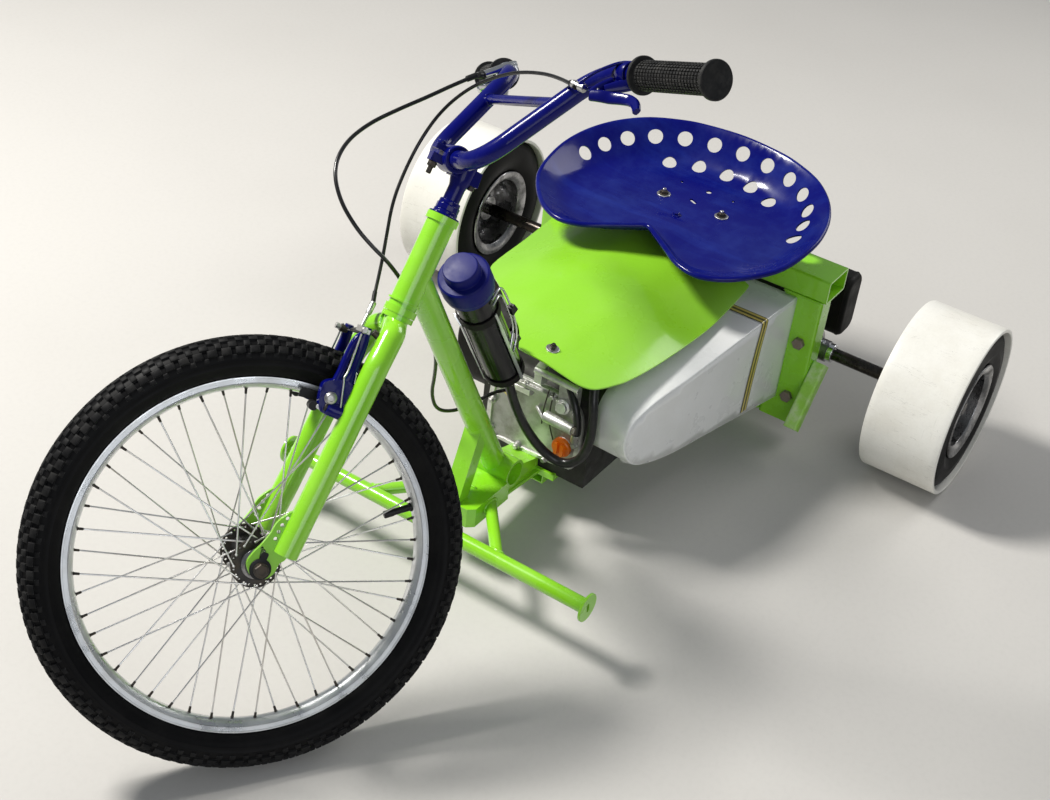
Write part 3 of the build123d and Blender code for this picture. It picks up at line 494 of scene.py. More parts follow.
alloy_dirty = material("wheel_alloy", (0.40, 0.40, 0.41), 0.22, metal=1.0, tint=(0.12, 0.12, 0.12), tint_amount=0.85, tint_scale=26, dust=(0.030, 0.027, 0.024),
                       dust_amount=0.75, dust_scale=32, bump=0.2, bump_scale=500, wear=(0.8, 0.8, 0.8))
spoke_steel = material("spoke_steel", (0.80, 0.80, 0.80), 0.30, metal=1.0, tint=(0.50, 0.45, 0.36), tint_amount=0.6, tint_scale=9, bump=0.05, bump_scale=900)
chrome = material("bright_steel", (0.74, 0.75, 0.77), 0.16, metal=1.0, tint=(0.55, 0.56, 0.58), tint_scale=30, dust=(0.35, 0.33, 0.30), dust_amount=0.15,
                  dust_scale=60, bump=0.04, rough_var=0.06)
zinc = material("zinc_bolt", (0.60, 0.60, 0.59), 0.36, metal=1.0, tint=(0.42, 0.41, 0.38), tint_scale=60, dust=(0.25, 0.20, 0.14), dust_amount=0.35,
                dust_scale=80, bump=0.2, bump_scale=700)
rust_bolt = material("weathered_bolt", (0.30, 0.255, 0.215), 0.58, metal=0.75, tint=(0.20, 0.13, 0.085), tint_scale=90, tint_amount=0.8,
                     dust=(0.34, 0.31, 0.27), dust_amount=0.5, dust_scale=90, bump=0.5, bump_scale=800)
axle_steel = material("axle_steel", (0.055, 0.053, 0.051), 0.22, metal=1.0, tint=(0.035, 0.026, 0.018), tint_amount=0.8, tint_scale=16,
                      dust=(0.10, 0.065, 0.04), dust_amount=0.35, dust_scale=26, bump=0.15, bump_scale=500, streak=((8.0, 160.0, 160.0), (0.17, 0.165, 0.16), 0.35))
dark_steel = material("dark_steel", (0.055, 0.052, 0.050), 0.45, metal=0.9, tint=(0.10, 0.075, 0.05), tint_amount=0.5, tint_scale=50, dust=(0.12, 0.10, 0.08),
                      dust_amount=0.4, dust_scale=60, bump=0.3, bump_scale=600)
black_gloss = material("black_gloss", (0.0025, 0.0025, 0.003), 0.24, spec=0.25, coat=0.12, coat_rough=0.05, tint=(0.006, 0.006, 0.008), dust=(0.03, 0.03, 0.03),
                       dust_amount=0.10, dust_scale=30, dent=0.06)
black_paint = material("black_heat_paint", (0.004, 0.0038, 0.0036), 0.58, spec=0.2, tint=(0.010, 0.008, 0.006), tint_amount=0.6, tint_scale=18,
                       dust=(0.035, 0.029, 0.023), dust_amount=0.22, dust_scale=24, bump=0.35, bump_scale=420, wear=(0.10, 0.07, 0.05), dent=0.2, dent_scale=30)
plastic = material("black_plastic", (0.006, 0.006, 0.0065), 0.40, spec=0.3, tint=(0.012, 0.012, 0.013), dust=(0.045, 0.045, 0.042), dust_amount=0.16, dust_scale=50,
                   bump=0.25, bump_scale=700, wear=(0.06, 0.06, 0.06))
grip_mat = material("grip_rubber", (0.006, 0.006, 0.0065), 0.50, spec=0.3, tint=(0.013, 0.013, 0.013), tint_scale=50, dust=(0.07, 0.067, 0.06),
                    dust_amount=0.26, dust_scale=90, bump=0.3, bump_scale=900, wear=(0.14, 0.14, 0.13), wear_width=0.5)
cable_mat = material("cable_sheath", (0.004, 0.004, 0.0045), 0.26, spec=0.35, coat=0.35, tint=(0.008, 0.008, 0.008), dust=(0.04, 0.04, 0.035), dust_amount=0.2, dust_scale=60,
                     bump=0.08)
hose_mat = material("hose_rubber", (0.005, 0.005, 0.0055), 0.34, spec=0.35, coat=0.2, tint=(0.010, 0.010, 0.010), dust=(0.05, 0.047, 0.042), dust_amount=0.2, dust_scale=50,
                    bump=0.2, bump_scale=500, streak=((14.0, 160.0, 160.0), (0.03, 0.03, 0.03), 0.4))
cast = material("cast_aluminium", (0.50, 0.50, 0.485), 0.46, metal=0.85, tint=(0.30, 0.30, 0.275), tint_amount=0.7, tint_scale=20, dust=(0.16, 0.145, 0.11),
                dust_amount=0.55, dust_scale=28, bump=0.6, bump_scale=420, wear=(0.75, 0.75, 0.74), wear_amount=0.8, wear_width=1.0)
# near-black cast for the engine block is painted shade: it stands for the shadow under the hood and cover; its paler
# patches are real dust
engine_painted_shade = material("engine_painted_shade", (0.060, 0.060, 0.056), 0.55, metal=0.5, spec=0.2, tint=(0.030, 0.029, 0.026), tint_amount=0.8, tint_scale=22,
                       dust=(0.035, 0.031, 0.024), dust_amount=0.5, dust_scale=26, bump=0.5, bump_scale=420)
blue_cap = material("blue_cap", (0.0006, 0.0024, 0.135), 0.46, spec=0.22, tint=(0.0006, 0.0020, 0.10), tint_amount=0.5, tint_scale=18,
                    dust=(0.02, 0.04, 0.20), dust_amount=0.10, dust_scale=40, bump=0.05)
cast_light = material("cast_bright", (0.78, 0.78, 0.76), 0.36, metal=0.85, tint=(0.52, 0.52, 0.50), tint_scale=40, dust=(0.24, 0.22, 0.18), dust_amount=0.4,
                      dust_scale=50, bump=0.35, bump_scale=520, wear=(0.85, 0.85, 0.84))
foot_cast = material("foot_casting", (0.36, 0.33, 0.28), 0.45, metal=0.8, tint=(0.24, 0.20, 0.15), tint_amount=0.8, tint_scale=34, dust=(0.22, 0.17, 0.11),
                     dust_amount=0.6, dust_scale=44, bump=0.5, bump_scale=420, wear=(0.75, 0.72, 0.66))
orange = material("orange_plastic", (0.92, 0.20, 0.004), 0.34, coat=0.15, tint=(0.62, 0.09, 0.003), tint_scale=40, dust=(0.40, 0.20, 0.06), dust_amount=0.2,
                  dust_scale=70, bump=0.12, bump_scale=600)
gold = material("stripe_gold", (0.62, 0.50, 0.13), 0.34, coat=0.4, tint=(0.44, 0.36, 0.08), tint_scale=60, bump=0.05)
olive = material("stripe_dark", (0.085, 0.085, 0.035), 0.36, coat=0.4, tint=(0.13, 0.12, 0.05), tint_scale=60, bump=0.05)
brass = material("brass_wire", (0.44, 0.40, 0.12), 0.35, metal=0.6, tint=(0.30, 0.30, 0.08), tint_scale=40, bump=0.05)
pale_plug = material("pale_plastic", (0.30, 0.40, 0.46), 0.35, coat=0.3, tint=(0.16, 0.24, 0.30), tint_scale=60, bump=0.1)
clear_line = material("inner_wire", (0.52, 0.50, 0.47), 0.30, metal=0.7, tint=(0.20, 0.19, 0.18), tint_amount=0.9, tint_scale=60, bump=0.3, bump_scale=1200)


def sleeve_material():
    """White plastic drift sleeve: faint road scuffs round it, hairline marks and dust."""
    mat = material("sleeve_plastic", (0.80, 0.79, 0.74), 0.42, coat=0.12, coat_rough=0.2, tint=(0.73, 0.71, 0.64), tint_amount=0.7, tint_scale=7,
                   dust=(0.60, 0.57, 0.49), dust_amount=0.30, dust_scale=13, bump=0.25, bump_scale=420)
    t = mat.node_tree
    n, l = t.nodes, t.links
    bsdf = n["Principled BSDF"]
    src = bsdf.inputs["Base Color"].links[0].from_socket
    tc = n.new("ShaderNodeTexCoord")
    sep = n.new("ShaderNodeSeparateXYZ")
    l.new(tc.outputs["Object"], sep.inputs[0])

    def math(op, a, b=None):
        x = n.new("ShaderNodeMath")
        x.operation = op
        for sock, v in zip(x.inputs, (a, b)):
            if v is None:
                continue
            if isinstance(v, (int, float)):
                sock.default_value = v
            else:
                l.new(v, sock)
        return x.outputs[0]

    ang = math("ARCTAN2", math("SUBTRACT", sep.outputs[2], 0.134), math("ADD", sep.outputs[0], X0 * MM))
    vec = n.new("ShaderNodeCombineXYZ")
    l.new(math("MULTIPLY", ang, 2.2), vec.inputs[0])
    l.new(math("MULTIPLY", sep.outputs[1], 260.0), vec.inputs[1])
    vec2 = n.new("ShaderNodeCombineXYZ")
    l.new(math("MULTIPLY", ang, 26.0), vec2.inputs[0])
    l.new(math("MULTIPLY", sep.outputs[1], 26.0), vec2.inputs[1])

    def noise(v, scale, detail, rough=0.6):
        x = n.new("ShaderNodeTexNoise")
        x.inputs["Scale"].default_value = scale
        x.inputs["Detail"].default_value = detail
        x.inputs["Roughness"].default_value = rough
        l.new(v, x.inputs["Vector"])
        return x.outputs["Fac"]

    def ramp(srcs, lo, hi, top):
        x = n.new("ShaderNodeMapRange")
        x.inputs["From Min"].default_value = lo
        x.inputs["From Max"].default_value = hi
        x.inputs["To Max"].default_value = top
        l.new(srcs, x.inputs["Value"])
        return x.outputs["Result"]

    lines = ramp(noise(vec.outputs[0], 1.0, 8.0, 0.75), 0.60, 0.72, 1.0)
    where = ramp(noise(vec2.outputs[0], 0.35, 4.0), 0.46, 0.60, 0.55)
    f = math("MULTIPLY", lines, where)
    vor = n.new("ShaderNodeTexVoronoi")
    vor.feature = "DISTANCE_TO_EDGE"
    vor.inputs["Scale"].default_value = 1.3
    warp = n.new("ShaderNodeVectorMath")
    warp.operation = "ADD"
    nz = n.new("ShaderNodeTexNoise")
    nz.inputs["Scale"].default_value = 1.8
    nz.inputs["Detail"].default_value = 5.0
    l.new(vec2.outputs[0], nz.inputs["Vector"])
    l.new(vec2.outputs[0], warp.inputs[0])
    l.new(nz.outputs["Color"], warp.inputs[1])
    l.new(warp.outputs[0], vor.inputs["Vector"])
    crack = ramp(vor.outputs["Distance"], 0.022, 0.0, 1.0)
    crack = math("MULTIPLY", crack, ramp(noise(vec2.outputs[0], 0.5, 3.0), 0.52, 0.60, 0.5))
    f = math("MAXIMUM", f, crack)
    mix = n.new("ShaderNodeMix")
    mix.data_type = "RGBA"
    l.new(f, mix.inputs[0])
    l.new(src, mix.inputs[6])
    mix.inputs[7].default_value = (0.24, 0.22, 0.19, 1)
    l.new(mix.outputs[2], bsdf.inputs["Base Color"])
    return mat


sleeve_mat = sleeve_material()

# ------------------------------------------------------------------ CAD nodes that keep their shape
NODE_LOOK = {
    "head_tube": lime, "down_tube": lime, "bottom_bracket": lime, "front_strut": lime, "foot_box": lime, "foot_bar_struts": lime,
    "frame_rails": lime, "engine_plate": lime, "rear_beam": lime, "rear_posts": lime, "lower_beam": lime, "rear_braces": lime_dusty,
    # the engine block takes the near-black painted-shade cast
    "bearing_housings": dark_steel, "engine_block": engine_painted_shade, "muffler": black_paint, "rear_axle": axle_steel, "axle_sprocket": dark_steel,
    "front_spokes": spoke_steel, "fork_steerer": lime, "fork_legs": lime, "handlebar": blue, "crossbar": blue,
    "recoil_starter": black_paint, "front_axle": dark_steel, "seat_bolts": zinc, "fuel_bottle": black_gloss,
}
for node, look in NODE_LOOK.items():
    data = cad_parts[node].data
    data.materials.clear()
    data.materials.append(look)
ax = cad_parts["rear_axle"].data
ax.materials.append(alloy_dirty)
for poly in ax.polygons:
    c = poly.center
    if 0.231 < abs(c.y) < 0.2505 and hypot(c.x + X0 * MM, c.z - 0.134) > 0.0105:
        poly.material_index = 1

# ------------------------------------------------------------------ front wheel
def wheel_ring(m, angle, radius_, axial):
    return (radius_ * cos(angle), radius_ * sin(angle), axial)


tyre = Mesh()
RING, TUBE = 230.1, 22.6
prof = []
for i in range(61):
    b = radians(-149 + 298 * i / 60)
    r = TUBE
    deg = abs(degrees(b))
    if 88 < deg < 92 or 104 < deg < 107 or 126 < deg < 129:
        r += 0.55
    prof.append((RING + r * cos(b), r * sin(b)))
prof += [(207.0, 10.4), (207.0, -10.4)]
tyre.lathe(WHEEL, prof, 160, 0, closed=True)
ROWS = ((0, 7.4, 10.6, 0.0), (-19.5, 6.2, 9.6, 0.5), (19.5, 6.2, 9.6, 0.5), (-38.5, 6.6, 9.0, 0.0), (38.5, 6.6, 9.0, 0.0),
        (-58, 7.4, 10.4, 0.5), (58, 7.4, 10.4, 0.5), (-75, 4.6, 6.2, 0.0), (75, 4.6, 6.2, 0.0))
PITCHES = 96
for row, (deg, wide, long_, shift) in enumerate(ROWS):
    b = radians(deg)
    for i in range(PITCHES):
        a = 2 * pi * (i + shift) / PITCHES
        radial = Vector((cos(a), sin(a), 0))
        tang = Vector((-sin(a), cos(a), 0))
        nrm = radial * cos(b) + Vector((0, 0, sin(b)))
        acr = nrm.cross(tang)
        top = 2.8 if abs(deg) < 70 else 1.5
        base = radial * RING + nrm * (TUBE - 1.0)
        hw, hl = wide / 2, long_ / 2
        if row in (1, 2, 3, 4) and i % 2:
            hl *= 0.72
        vs = []
        for h, g in ((0, 0.5), (top + 0.45, 0.0), (top + 1.0, -0.8)):
            for sx, sy in ((-1, -1), (1, -1), (1, 1), (-1, 1)):
                vs.append(base + nrm * h + tang * sx * (hl + g) + acr * sy * (hw + g))
        fs = [(0, 1, 5, 4), (1, 2, 6, 5), (2, 3, 7, 6), (3, 0, 4, 7), (4, 5, 9, 8), (5, 6, 10, 9), (6, 7, 11, 10), (7, 4, 8, 11), (8, 9, 10, 11)]
        tyre.put(WHEEL, vs, fs, 1)
tyre.done("front_tyre_knobby", "front_wheel", [tyre_side, tyre_rubber], "tyre", ["front_tyre"], angle=35, weld=False)

rim = Mesh()
half = [(196.0, 0), (196.1, 3.6), (197.4, 6.8), (199.6, 9.6), (201.6, 11.3), (202.4, 12.1), (203.2, 11.7), (208.0, 11.95), (208.4, 12.5), (210.0, 12.5), (210.0, 10.7), (206.6, 10.2), (204.0, 6.5), (204.0, 0)]
rim.lathe(WHEEL, half + [(r, -y) for r, y in half[-2:0:-1]], 192, 0, closed=True)
rim.done("front_rim_alloy", "front_wheel", alloy, "alloy", ["front_rim"], angle=24)

nip = Mesh()
SPOKES = 48
for i in range(SPOKES):
    hand = 1 if i % 2 else -1
    lead = 1 if (i // 2) % 2 else -1
    ra = 2 * pi / SPOKES * (i + 0.5)
    ha = ra + lead * radians(60)
    q = WHEEL @ Vector((195.6 * cos(ra), 195.6 * sin(ra), hand * 2.5))
    p = WHEEL @ Vector((25.5 * cos(ha), 25.5 * sin(ha), hand * (31 + 3.2 * lead)))
    d = (p - q).normalized()
    nip.lathe(axes(q - d * 1.5 * MM, d), [(0, 0), (2.1, 0), (2.1, 1.6), (1.6, 2.2), (1.5, 7.2), (1.1, 8.0), (0, 8.0)], 8)
    # bent spoke heads in the flange
    z = (W * hand * lead)
    nip.ball(p + W * (hand * lead) * 0.2 * MM, 1.9, 8, 1, 0.7, W)
va = radians(218)
vq = WHEEL @ Vector((196 * cos(va), 196 * sin(va), 0))
vd = (HUB - vq).normalized()
nip.lathe(axes(vq, vd), [(0, 0), (5.4, 0), (5.4, 2), (4.2, 3), (4.0, 22), (4.6, 22.2), (4.6, 33), (3.9, 34), (0, 34)], 16, 2)
nip.done("nipples_and_valve", "front_wheel", [dark_steel, spoke_steel, plastic], "black_metal", angle=35)

hub = Mesh()
shell = [(5.1, -46.5), (9.2, -46.5), (10.6, -44), (12.6, -43.4), (12.8, -39.5), (14.6, -37), (17.6, -35.4), (17.6, -28.6), (15.2, -24), (14.4, -18),
         (13.6, -8), (13.6, 8), (14.4, 18), (15.2, 24), (17.6, 28.6), (17.6, 35.4), (14.6, 37), (12.8, 39.5), (12.6, 43.4), (10.6, 44), (9.2, 46.5), (5.1, 46.5)]
hub.lathe(WHEEL, shell, 48, 0, closed=True)
holes = [circle2(25.5 * cos(2 * pi * (j + 0.5) / 24), 25.5 * sin(2 * pi * (j + 0.5) / 24), 1.5, 8) for j in range(24)]
for z in (-32.4, 29.4):
    hub.plate(WHEEL, circle2(0, 0, 29, 64), z, z + 3.0, [circle2(0, 0, 15, 32)] + holes, 1)
for z0, z1 in ((-46.6, -43.2), (43.2, 46.6)):
    hub.lathe(WHEEL, [(9, z0), (12.6, z0), (13.0, (z0 + z1) / 2), (12.6, z1), (9, z1)], 40, 2, closed=True)
hub.done("front_hub_shell", "front_wheel", [alloy_dirty, dark_steel, plastic], "alloy", ["front_hub"], bevel=0.3, angle=34)

# ------------------------------------------------------------------ fork ends, axle nuts
drop = Mesh()
DROP_OUT = smooth_loop([(57.5, 278), (55.5, 291), (50.5, 303), (46.5, 318), (45, 331), (39.5, 342), (33, 350), (22, 356), (16, 340), (16, 312), (18, 296), (22.5, 289),
                        (23.5, 277), (29.5, 268), (39, 264), (50, 267.5)], 4)
for w0 in (50.0, -55.0):
    m = axes(S(0, w0, 0), W, L)            # x ahead, y down the axis
    hol = [circle2(a, -s, r, 14) for a, s, r in ((38.6, 314, 2.4), (38.6, 322.5, 2.4), (38.0, 331, 2.4), (35.4, 340, 2.4), (31.5, 347, 2.0), (48.0, 299, 2.0))]
    hol.append(rounded2(44.4, -291.5, 6.0, 15.0, 2.9, 4, radians(14)))
    drop.plate(m, [(a, -s) for a, s in DROP_OUT], 0.2, 4.9, hol, 0)
drop.done("fork_dropout_plates", "steering", lime, "lime_paint", ["fork_dropouts"], bevel=0.7)
nuts = Mesh()
for hand in (1, -1):
    base = HUB + W * hand * 55.0 * MM
    m = axes(base, W * hand, L)
    nuts.lathe(m, [(5, 0.1), (12.5, 0.1), (12.5, 1.6), (11.5, 2.1), (5, 2.1)], 32, 1)
    nuts.hexagon(m, 15.0, 7.6, 0, 2.0, 4.6)
    nuts.lathe(m, [(0, 2), (4.9, 2), (4.9, 8.6), (4.2, 9.2), (0, 9.2)], 20, 0)
    # tabbed washer
    nuts.plate(m, rounded2(2.0, -15.5 * 1.0, 8.0, 9.0, 2.0, 3), 0.2, 2.0, (), 1)
nuts.done("axle_nuts", "steering", [dark_steel, plastic], "steel", bevel=0.25, angle=30)

# weld beads: a row of small overlapping ripples along a line
def weld(mesh, pts, r=2.4, k=0, step=2.2):
    pts = [Vector(p) for p in pts]
    acc, rings = 0.0, []
    for a, b in zip(pts, pts[1:]):
        d = (b - a).length / MM
        n = max(int(d / step), 1)
        for i in range(n):
            p = a.lerp(b, i / n)
            rings.append(p)
    rings.append(pts[-1])
    radii = [r * (1.0 + (0.16 if i % 2 else -0.10) + random.uniform(-0.06, 0.06)) for i in range(len(rings))]
    radii[0] = radii[-1] = r * 0.6
    mesh.tube(rings, radii, 8, k)


def weld_saddle(mesh, base, z, x, r1, r2, grow=0.5, r=2.4, n=40, keep=None):
    """The bead where a tube of radius r1 along z meets a tube of radius r2 along x; both axes pass base."""
    m = axes(base, z, x)
    pts = []
    for i in range(n + 1):
        a = 2 * pi * i / n
        px, py = (r1 + grow) * cos(a), (r1 + grow) * sin(a)
        hz = sqrt(max((r2 + grow) ** 2 - py * py, 0.0))
        pts.append(m @ Vector((px, py, hz)))
    weld(mesh, pts, r)


welds = Mesh()
HEAD_JOIN, BB = P(754, 0, 506), P(541, 0, 105)
tube_dir = (HEAD_JOIN - BB).normalized()
# foot bar struts to the bar, strut and box edges
for hand in (-1, 1):
    low, high = P(588, hand * 26.5, 88), P(685, hand * 108, 88)
    d = (high - low).normalized()
    sidev = Vector((-d.y, d.x, 0))
    pts = []
    for i in range(25):
        a = 2 * pi * i / 24
        off = sidev * 8.7 * cos(a) + Vector((0, 0, 1)) * 8.7 * sin(a)
        # stop on the bar's surface: distance from its axis is 10.8
        zz = 8.7 * sin(a)
        x_at = -sqrt(max(10.9 ** 2 - zz * zz, 0))
        t = (x_at - off.x - (0)) / d.x
        pts.append(high + off * MM + d * t * MM)
    weld(welds, pts, 1.9)
    pts = []
    for i in range(25):
        a = 2 * pi * i / 24
        off = sidev * 8.7 * cos(a) + Vector((0, 0, 1)) * 8.7 * sin(a)
        # box side plane y = 37
        t = (37.2 - 26.5 - hand * off.y) / (hand * d.y)
        q = low + off * MM + d * t * MM
        if q.x < P(637, 0, 0).x:
            pts.append(q)
    if len(pts) > 3:
        weld(welds, pts, 1.8)
weld(welds, [P(600, -11.5, 103.4), P(600, 11.5, 103.4)], 1.8)
# points up the strut towards the down tube; no bead is laid from them
sd = (P(587, 0, 218) - P(638, 0, 92)).normalized()
for y in (-12.4, 12.4):
    pts = []
    for i in range(9):
        s = 18 + i * 12.5
        q = P(638, 0, 92) + sd * s * MM
        pts.append(q)
# top end of the strut against the tube
weld(welds, [P(604.8, y, 221.5 - abs(y) * 0.35) for y in (-12.5, -8, -3, 3, 8, 12.5)], 2.2)
weld(welds, [P(604.8 - 1.0, 12.9, 221.5 - 4), P(600, 13.3, 205), P(596, 13.6, 190)], 2.0)
# beams: seam round the top of each post and the corner seams
for y0, y1 in ((185.5, 249), (-249, -185.5)):
    weld(welds, [P(75.6, y0, 256), P(75.6, y1, 256)], 1.8)
weld(welds, [P(75.6, 185.0, 36), P(75.6, 185.0, 59)], 1.7)
weld(welds, [P(75.6, -185.0, 36), P(75.6, -185.0, 59)], 1.7)
for hand in (1, -1):
    weld(welds, [P(75.4, hand * 249.6, 112), P(75.4, hand * 249.6, 88)], 1.8)
welds.done("frame_welds", "frame", lime, "lime_paint", angle=80)

BAR_END, BAR_BEND, BAR_CORNER = (-85.4, 329.1, 938.1), (-49.8, 138.1, 927.1), (18.4, 82.7, 784.5)
steer_welds = Mesh()
for hand in (1, -1):
    corner, bend = [S(a, hand * w, s) for a, w, s in (BAR_CORNER, BAR_BEND)]
    bar_dir = (bend - corner).normalized()
    pts = []
    for i in range(21):
        a = 2 * pi * i / 20
        off = (L * cos(a) + U * sin(a)) * 6.3
        o0 = S(-27.3, 0, 880) + off * MM
        # march outwards until the bar's surface is met
        t = 80.0
        while t < 125:
            q = o0 + W * hand * t * MM
            rel = q - corner
            dist = (rel - bar_dir * rel.dot(bar_dir)).length / MM
            if dist < 11.6:
                break
            t += 0.5
        pts.append(o0 + W * hand * t * MM)
    weld(steer_welds, pts, 1.9)
steer_welds.done("bar_welds", "steering", blue, "blue_paint", angle=80)

# ------------------------------------------------------------------ headset, stem
hs = Mesh()
T0 = 721.4
m = axes(S(0, 0, T0), U, L)
hs.lathe(m, [(10.1, 0.35), (18.4, 0.35), (18.5, 0.9), (18.2, 1.9), (15.4, 2.5), (14.6, 3.2), (14.4, 6.4), (13.4, 7.2), (10.1, 7.2)], 48)
hs.lathe(m, [(10.1, 7.2), (13.9, 7.2), (14.0, 8.0), (14.0, 13.4), (13.2, 14.2), (10.1, 14.2)], 12, turn=radians(9))
hs.lathe(m, [(10.1, 14.2), (12.6, 14.2), (12.8, 15.0), (12.6, 18.2), (11.6, 19.2), (10.1, 19.2)], 48)
hs.done("headset_cups", "steering", blue, "blue_paint", ["headset"], bevel=0.3, angle=28)

stem = Mesh()
CA, CS = 18.4, 784.5
m = axes(S(0, 0, 0), U, L)
stem.lathe(m, [(0, 722), (10.0, 722), (10.0, 757), (10.7, 760), (12.4, 764.5), (13.2, 769), (13.2, 785), (12.4, 789), (9.6, 791.2), (0, 791.6)], 40)
stem.box(m, (-4, -10.5, 767), (16, 10.5, 789), 0, 1.0)
CL = axes(S(CA, 0, CS), W, L)              # x ahead, y down the axis
z0, z1 = -19.4, 19.4
stem.lathe(CL, [(11.15, z0), (14.9, z0), (16.0, z0 + 1.3), (16.4, z0 + 5), (15.9, 0), (16.4, z1 - 5), (16.0, z1 - 1.3), (14.9, z1), (11.15, z1)], 48, closed=True)
# the split in front: two ears with the clamp bolt through them, its nut below
stem.box(CL, (11.0, -9.5, -7.6), (27.0, -2.4, 7.6), 0, 0.0)
stem.box(CL, (11.0, 2.4, -7.6), (27.0, 12.5, 7.6), 0, 0.0)
bolt_at = S(CA + 20.6, 0, CS - 12.6)
stem.hexagon(axes(bolt_at, -U, L), 10.0, 6.4, 1)
stem.lathe(axes(bolt_at, -U, L), [(0, 6), (3.1, 6), (3.1, 13.6), (2.5, 14.6), (0, 14.6)], 14, 1)
stem.lathe(axes(S(CA + 20.6, 0, CS + 9.6), U, L), [(0, 0), (5.4, 0), (5.4, 3.4), (4.2, 4.8), (0, 5.2)], 20, 0)
# lug behind, under the quill's head
stem.box(m, (-21.0, -7.5, 766), (-8, 7.5, 784), 0, 1.2)
stem.hexagon(axes(S(-15, 0, 766.2), -U, L), 9.0, 5.5, 1)
# expander bolt on top of the quill
stem.lathe(axes(S(-1, 0, 791.0), U, L), [(0, 0), (6.4, 0), (6.4, 3.6), (5.4, 4.6), (2.8, 4.6), (2.8, 2.0), (0, 2.0)], 24, 1)
stem.done("stem_forging", "steering", [blue, dark_steel], "blue_paint", ["stem"], bevel=0.9, angle=32)

# ------------------------------------------------------------------ grips
grips = Mesh()
for hand in (1, -1):
    bend, outer = [S(a, hand * w, s) for a, w, s in (BAR_BEND, BAR_END)]
    d = (outer - bend).normalized()
    inner = outer - d * 131.8 * MM
    m = axes(inner, d, U)
    grips.lathe(m, [(11.2, 8), (20.0, 8), (20.6, 8.8), (20.6, 11.2), (20.0, 12), (15.4, 12.4), (14.7, 13.2), (14.7, 126), (15.6, 127.6), (20.0, 128), (20.5, 128.7),
                    (20.5, 131.4), (19.8, 132.3), (17, 132.7), (16.4, 132.5), (4.4, 132.5), (3.4, 132.1), (0, 132.1)], 56)
    rows, around = 22, 26
    for i in range(rows):
        z0 = 15.6 + i * (110.0 / rows)
        z1 = z0 + 110.0 / rows - 1.6
        for j in range(around):
            a0 = 2 * pi * j / around
            da = 2 * pi / around * 0.31
            vs = []
            for r, g in ((14.4, 1.18), (16.0, 1.0), (16.25, 0.72)):
                gz = (1.0 - g) * 1.2
                for sa, z in ((-1, z0 + gz), (1, z0 + gz), (1, z1 - gz), (-1, z1 - gz)):
                    a = a0 + sa * da * g
                    vs.append((r * cos(a), r * sin(a), z))
            grips.put(m, vs, [(0, 1, 5, 4), (1, 2, 6, 5), (2, 3, 7, 6), (3, 0, 4, 7), (4, 5, 9, 8), (5, 6, 10, 9), (6, 7, 11, 10), (7, 4, 8, 11), (8, 9, 10, 11)])
grips.done("grips_ribbed", "steering", grip_mat, "grip_rubber", ["grips"], angle=30, weld=False)

# ------------------------------------------------------------------ levers
def blade(mesh, pts, wid, thick, up, k=0, n=7):
    """A lever blade: a rounded flat section along a smooth line."""
    line = [Vector(p) for p in smooth_loop([tuple(p) for p in pts], n, False)]
    m = len(line)
    wv = np.interp(np.linspace(0, 1, m), np.linspace(0, 1, len(wid)), wid)
    tv = np.interp(np.linspace(0, 1, m), np.linspace(0, 1, len(thick)), thick)
    sec = 14
    verts, faces = [], []
    for i, p in enumerate(line):
        t = (line[min(i + 1, m - 1)] - line[max(i - 1, 0)]).normalized()
        y = (up - t * up.dot(t)).normalized()
        x = y.cross(t)
        for j in range(sec):
            a = 2 * pi * j / sec
            ca, sa = cos(a), sin(a)
            px = (abs(ca) ** 0.6) * (1 if ca > 0 else -1) * tv[i] / 2
            py = (abs(sa) ** 0.6) * (1 if sa > 0 else -1) * wv[i] / 2
            verts.append(p + (x * px + y * py) * MM)
    for i in range(m - 1):
        for j in range(sec):
            faces.append((i * sec + j, i * sec + (j + 1) % sec, (i + 1) * sec + (j + 1) % sec, (i + 1) * sec + j))
    faces.append(tuple(range(sec))[::-1])
    faces.append(tuple((m - 1) * sec + j for j in range(sec)))
    mesh.put(None, verts, faces, k)


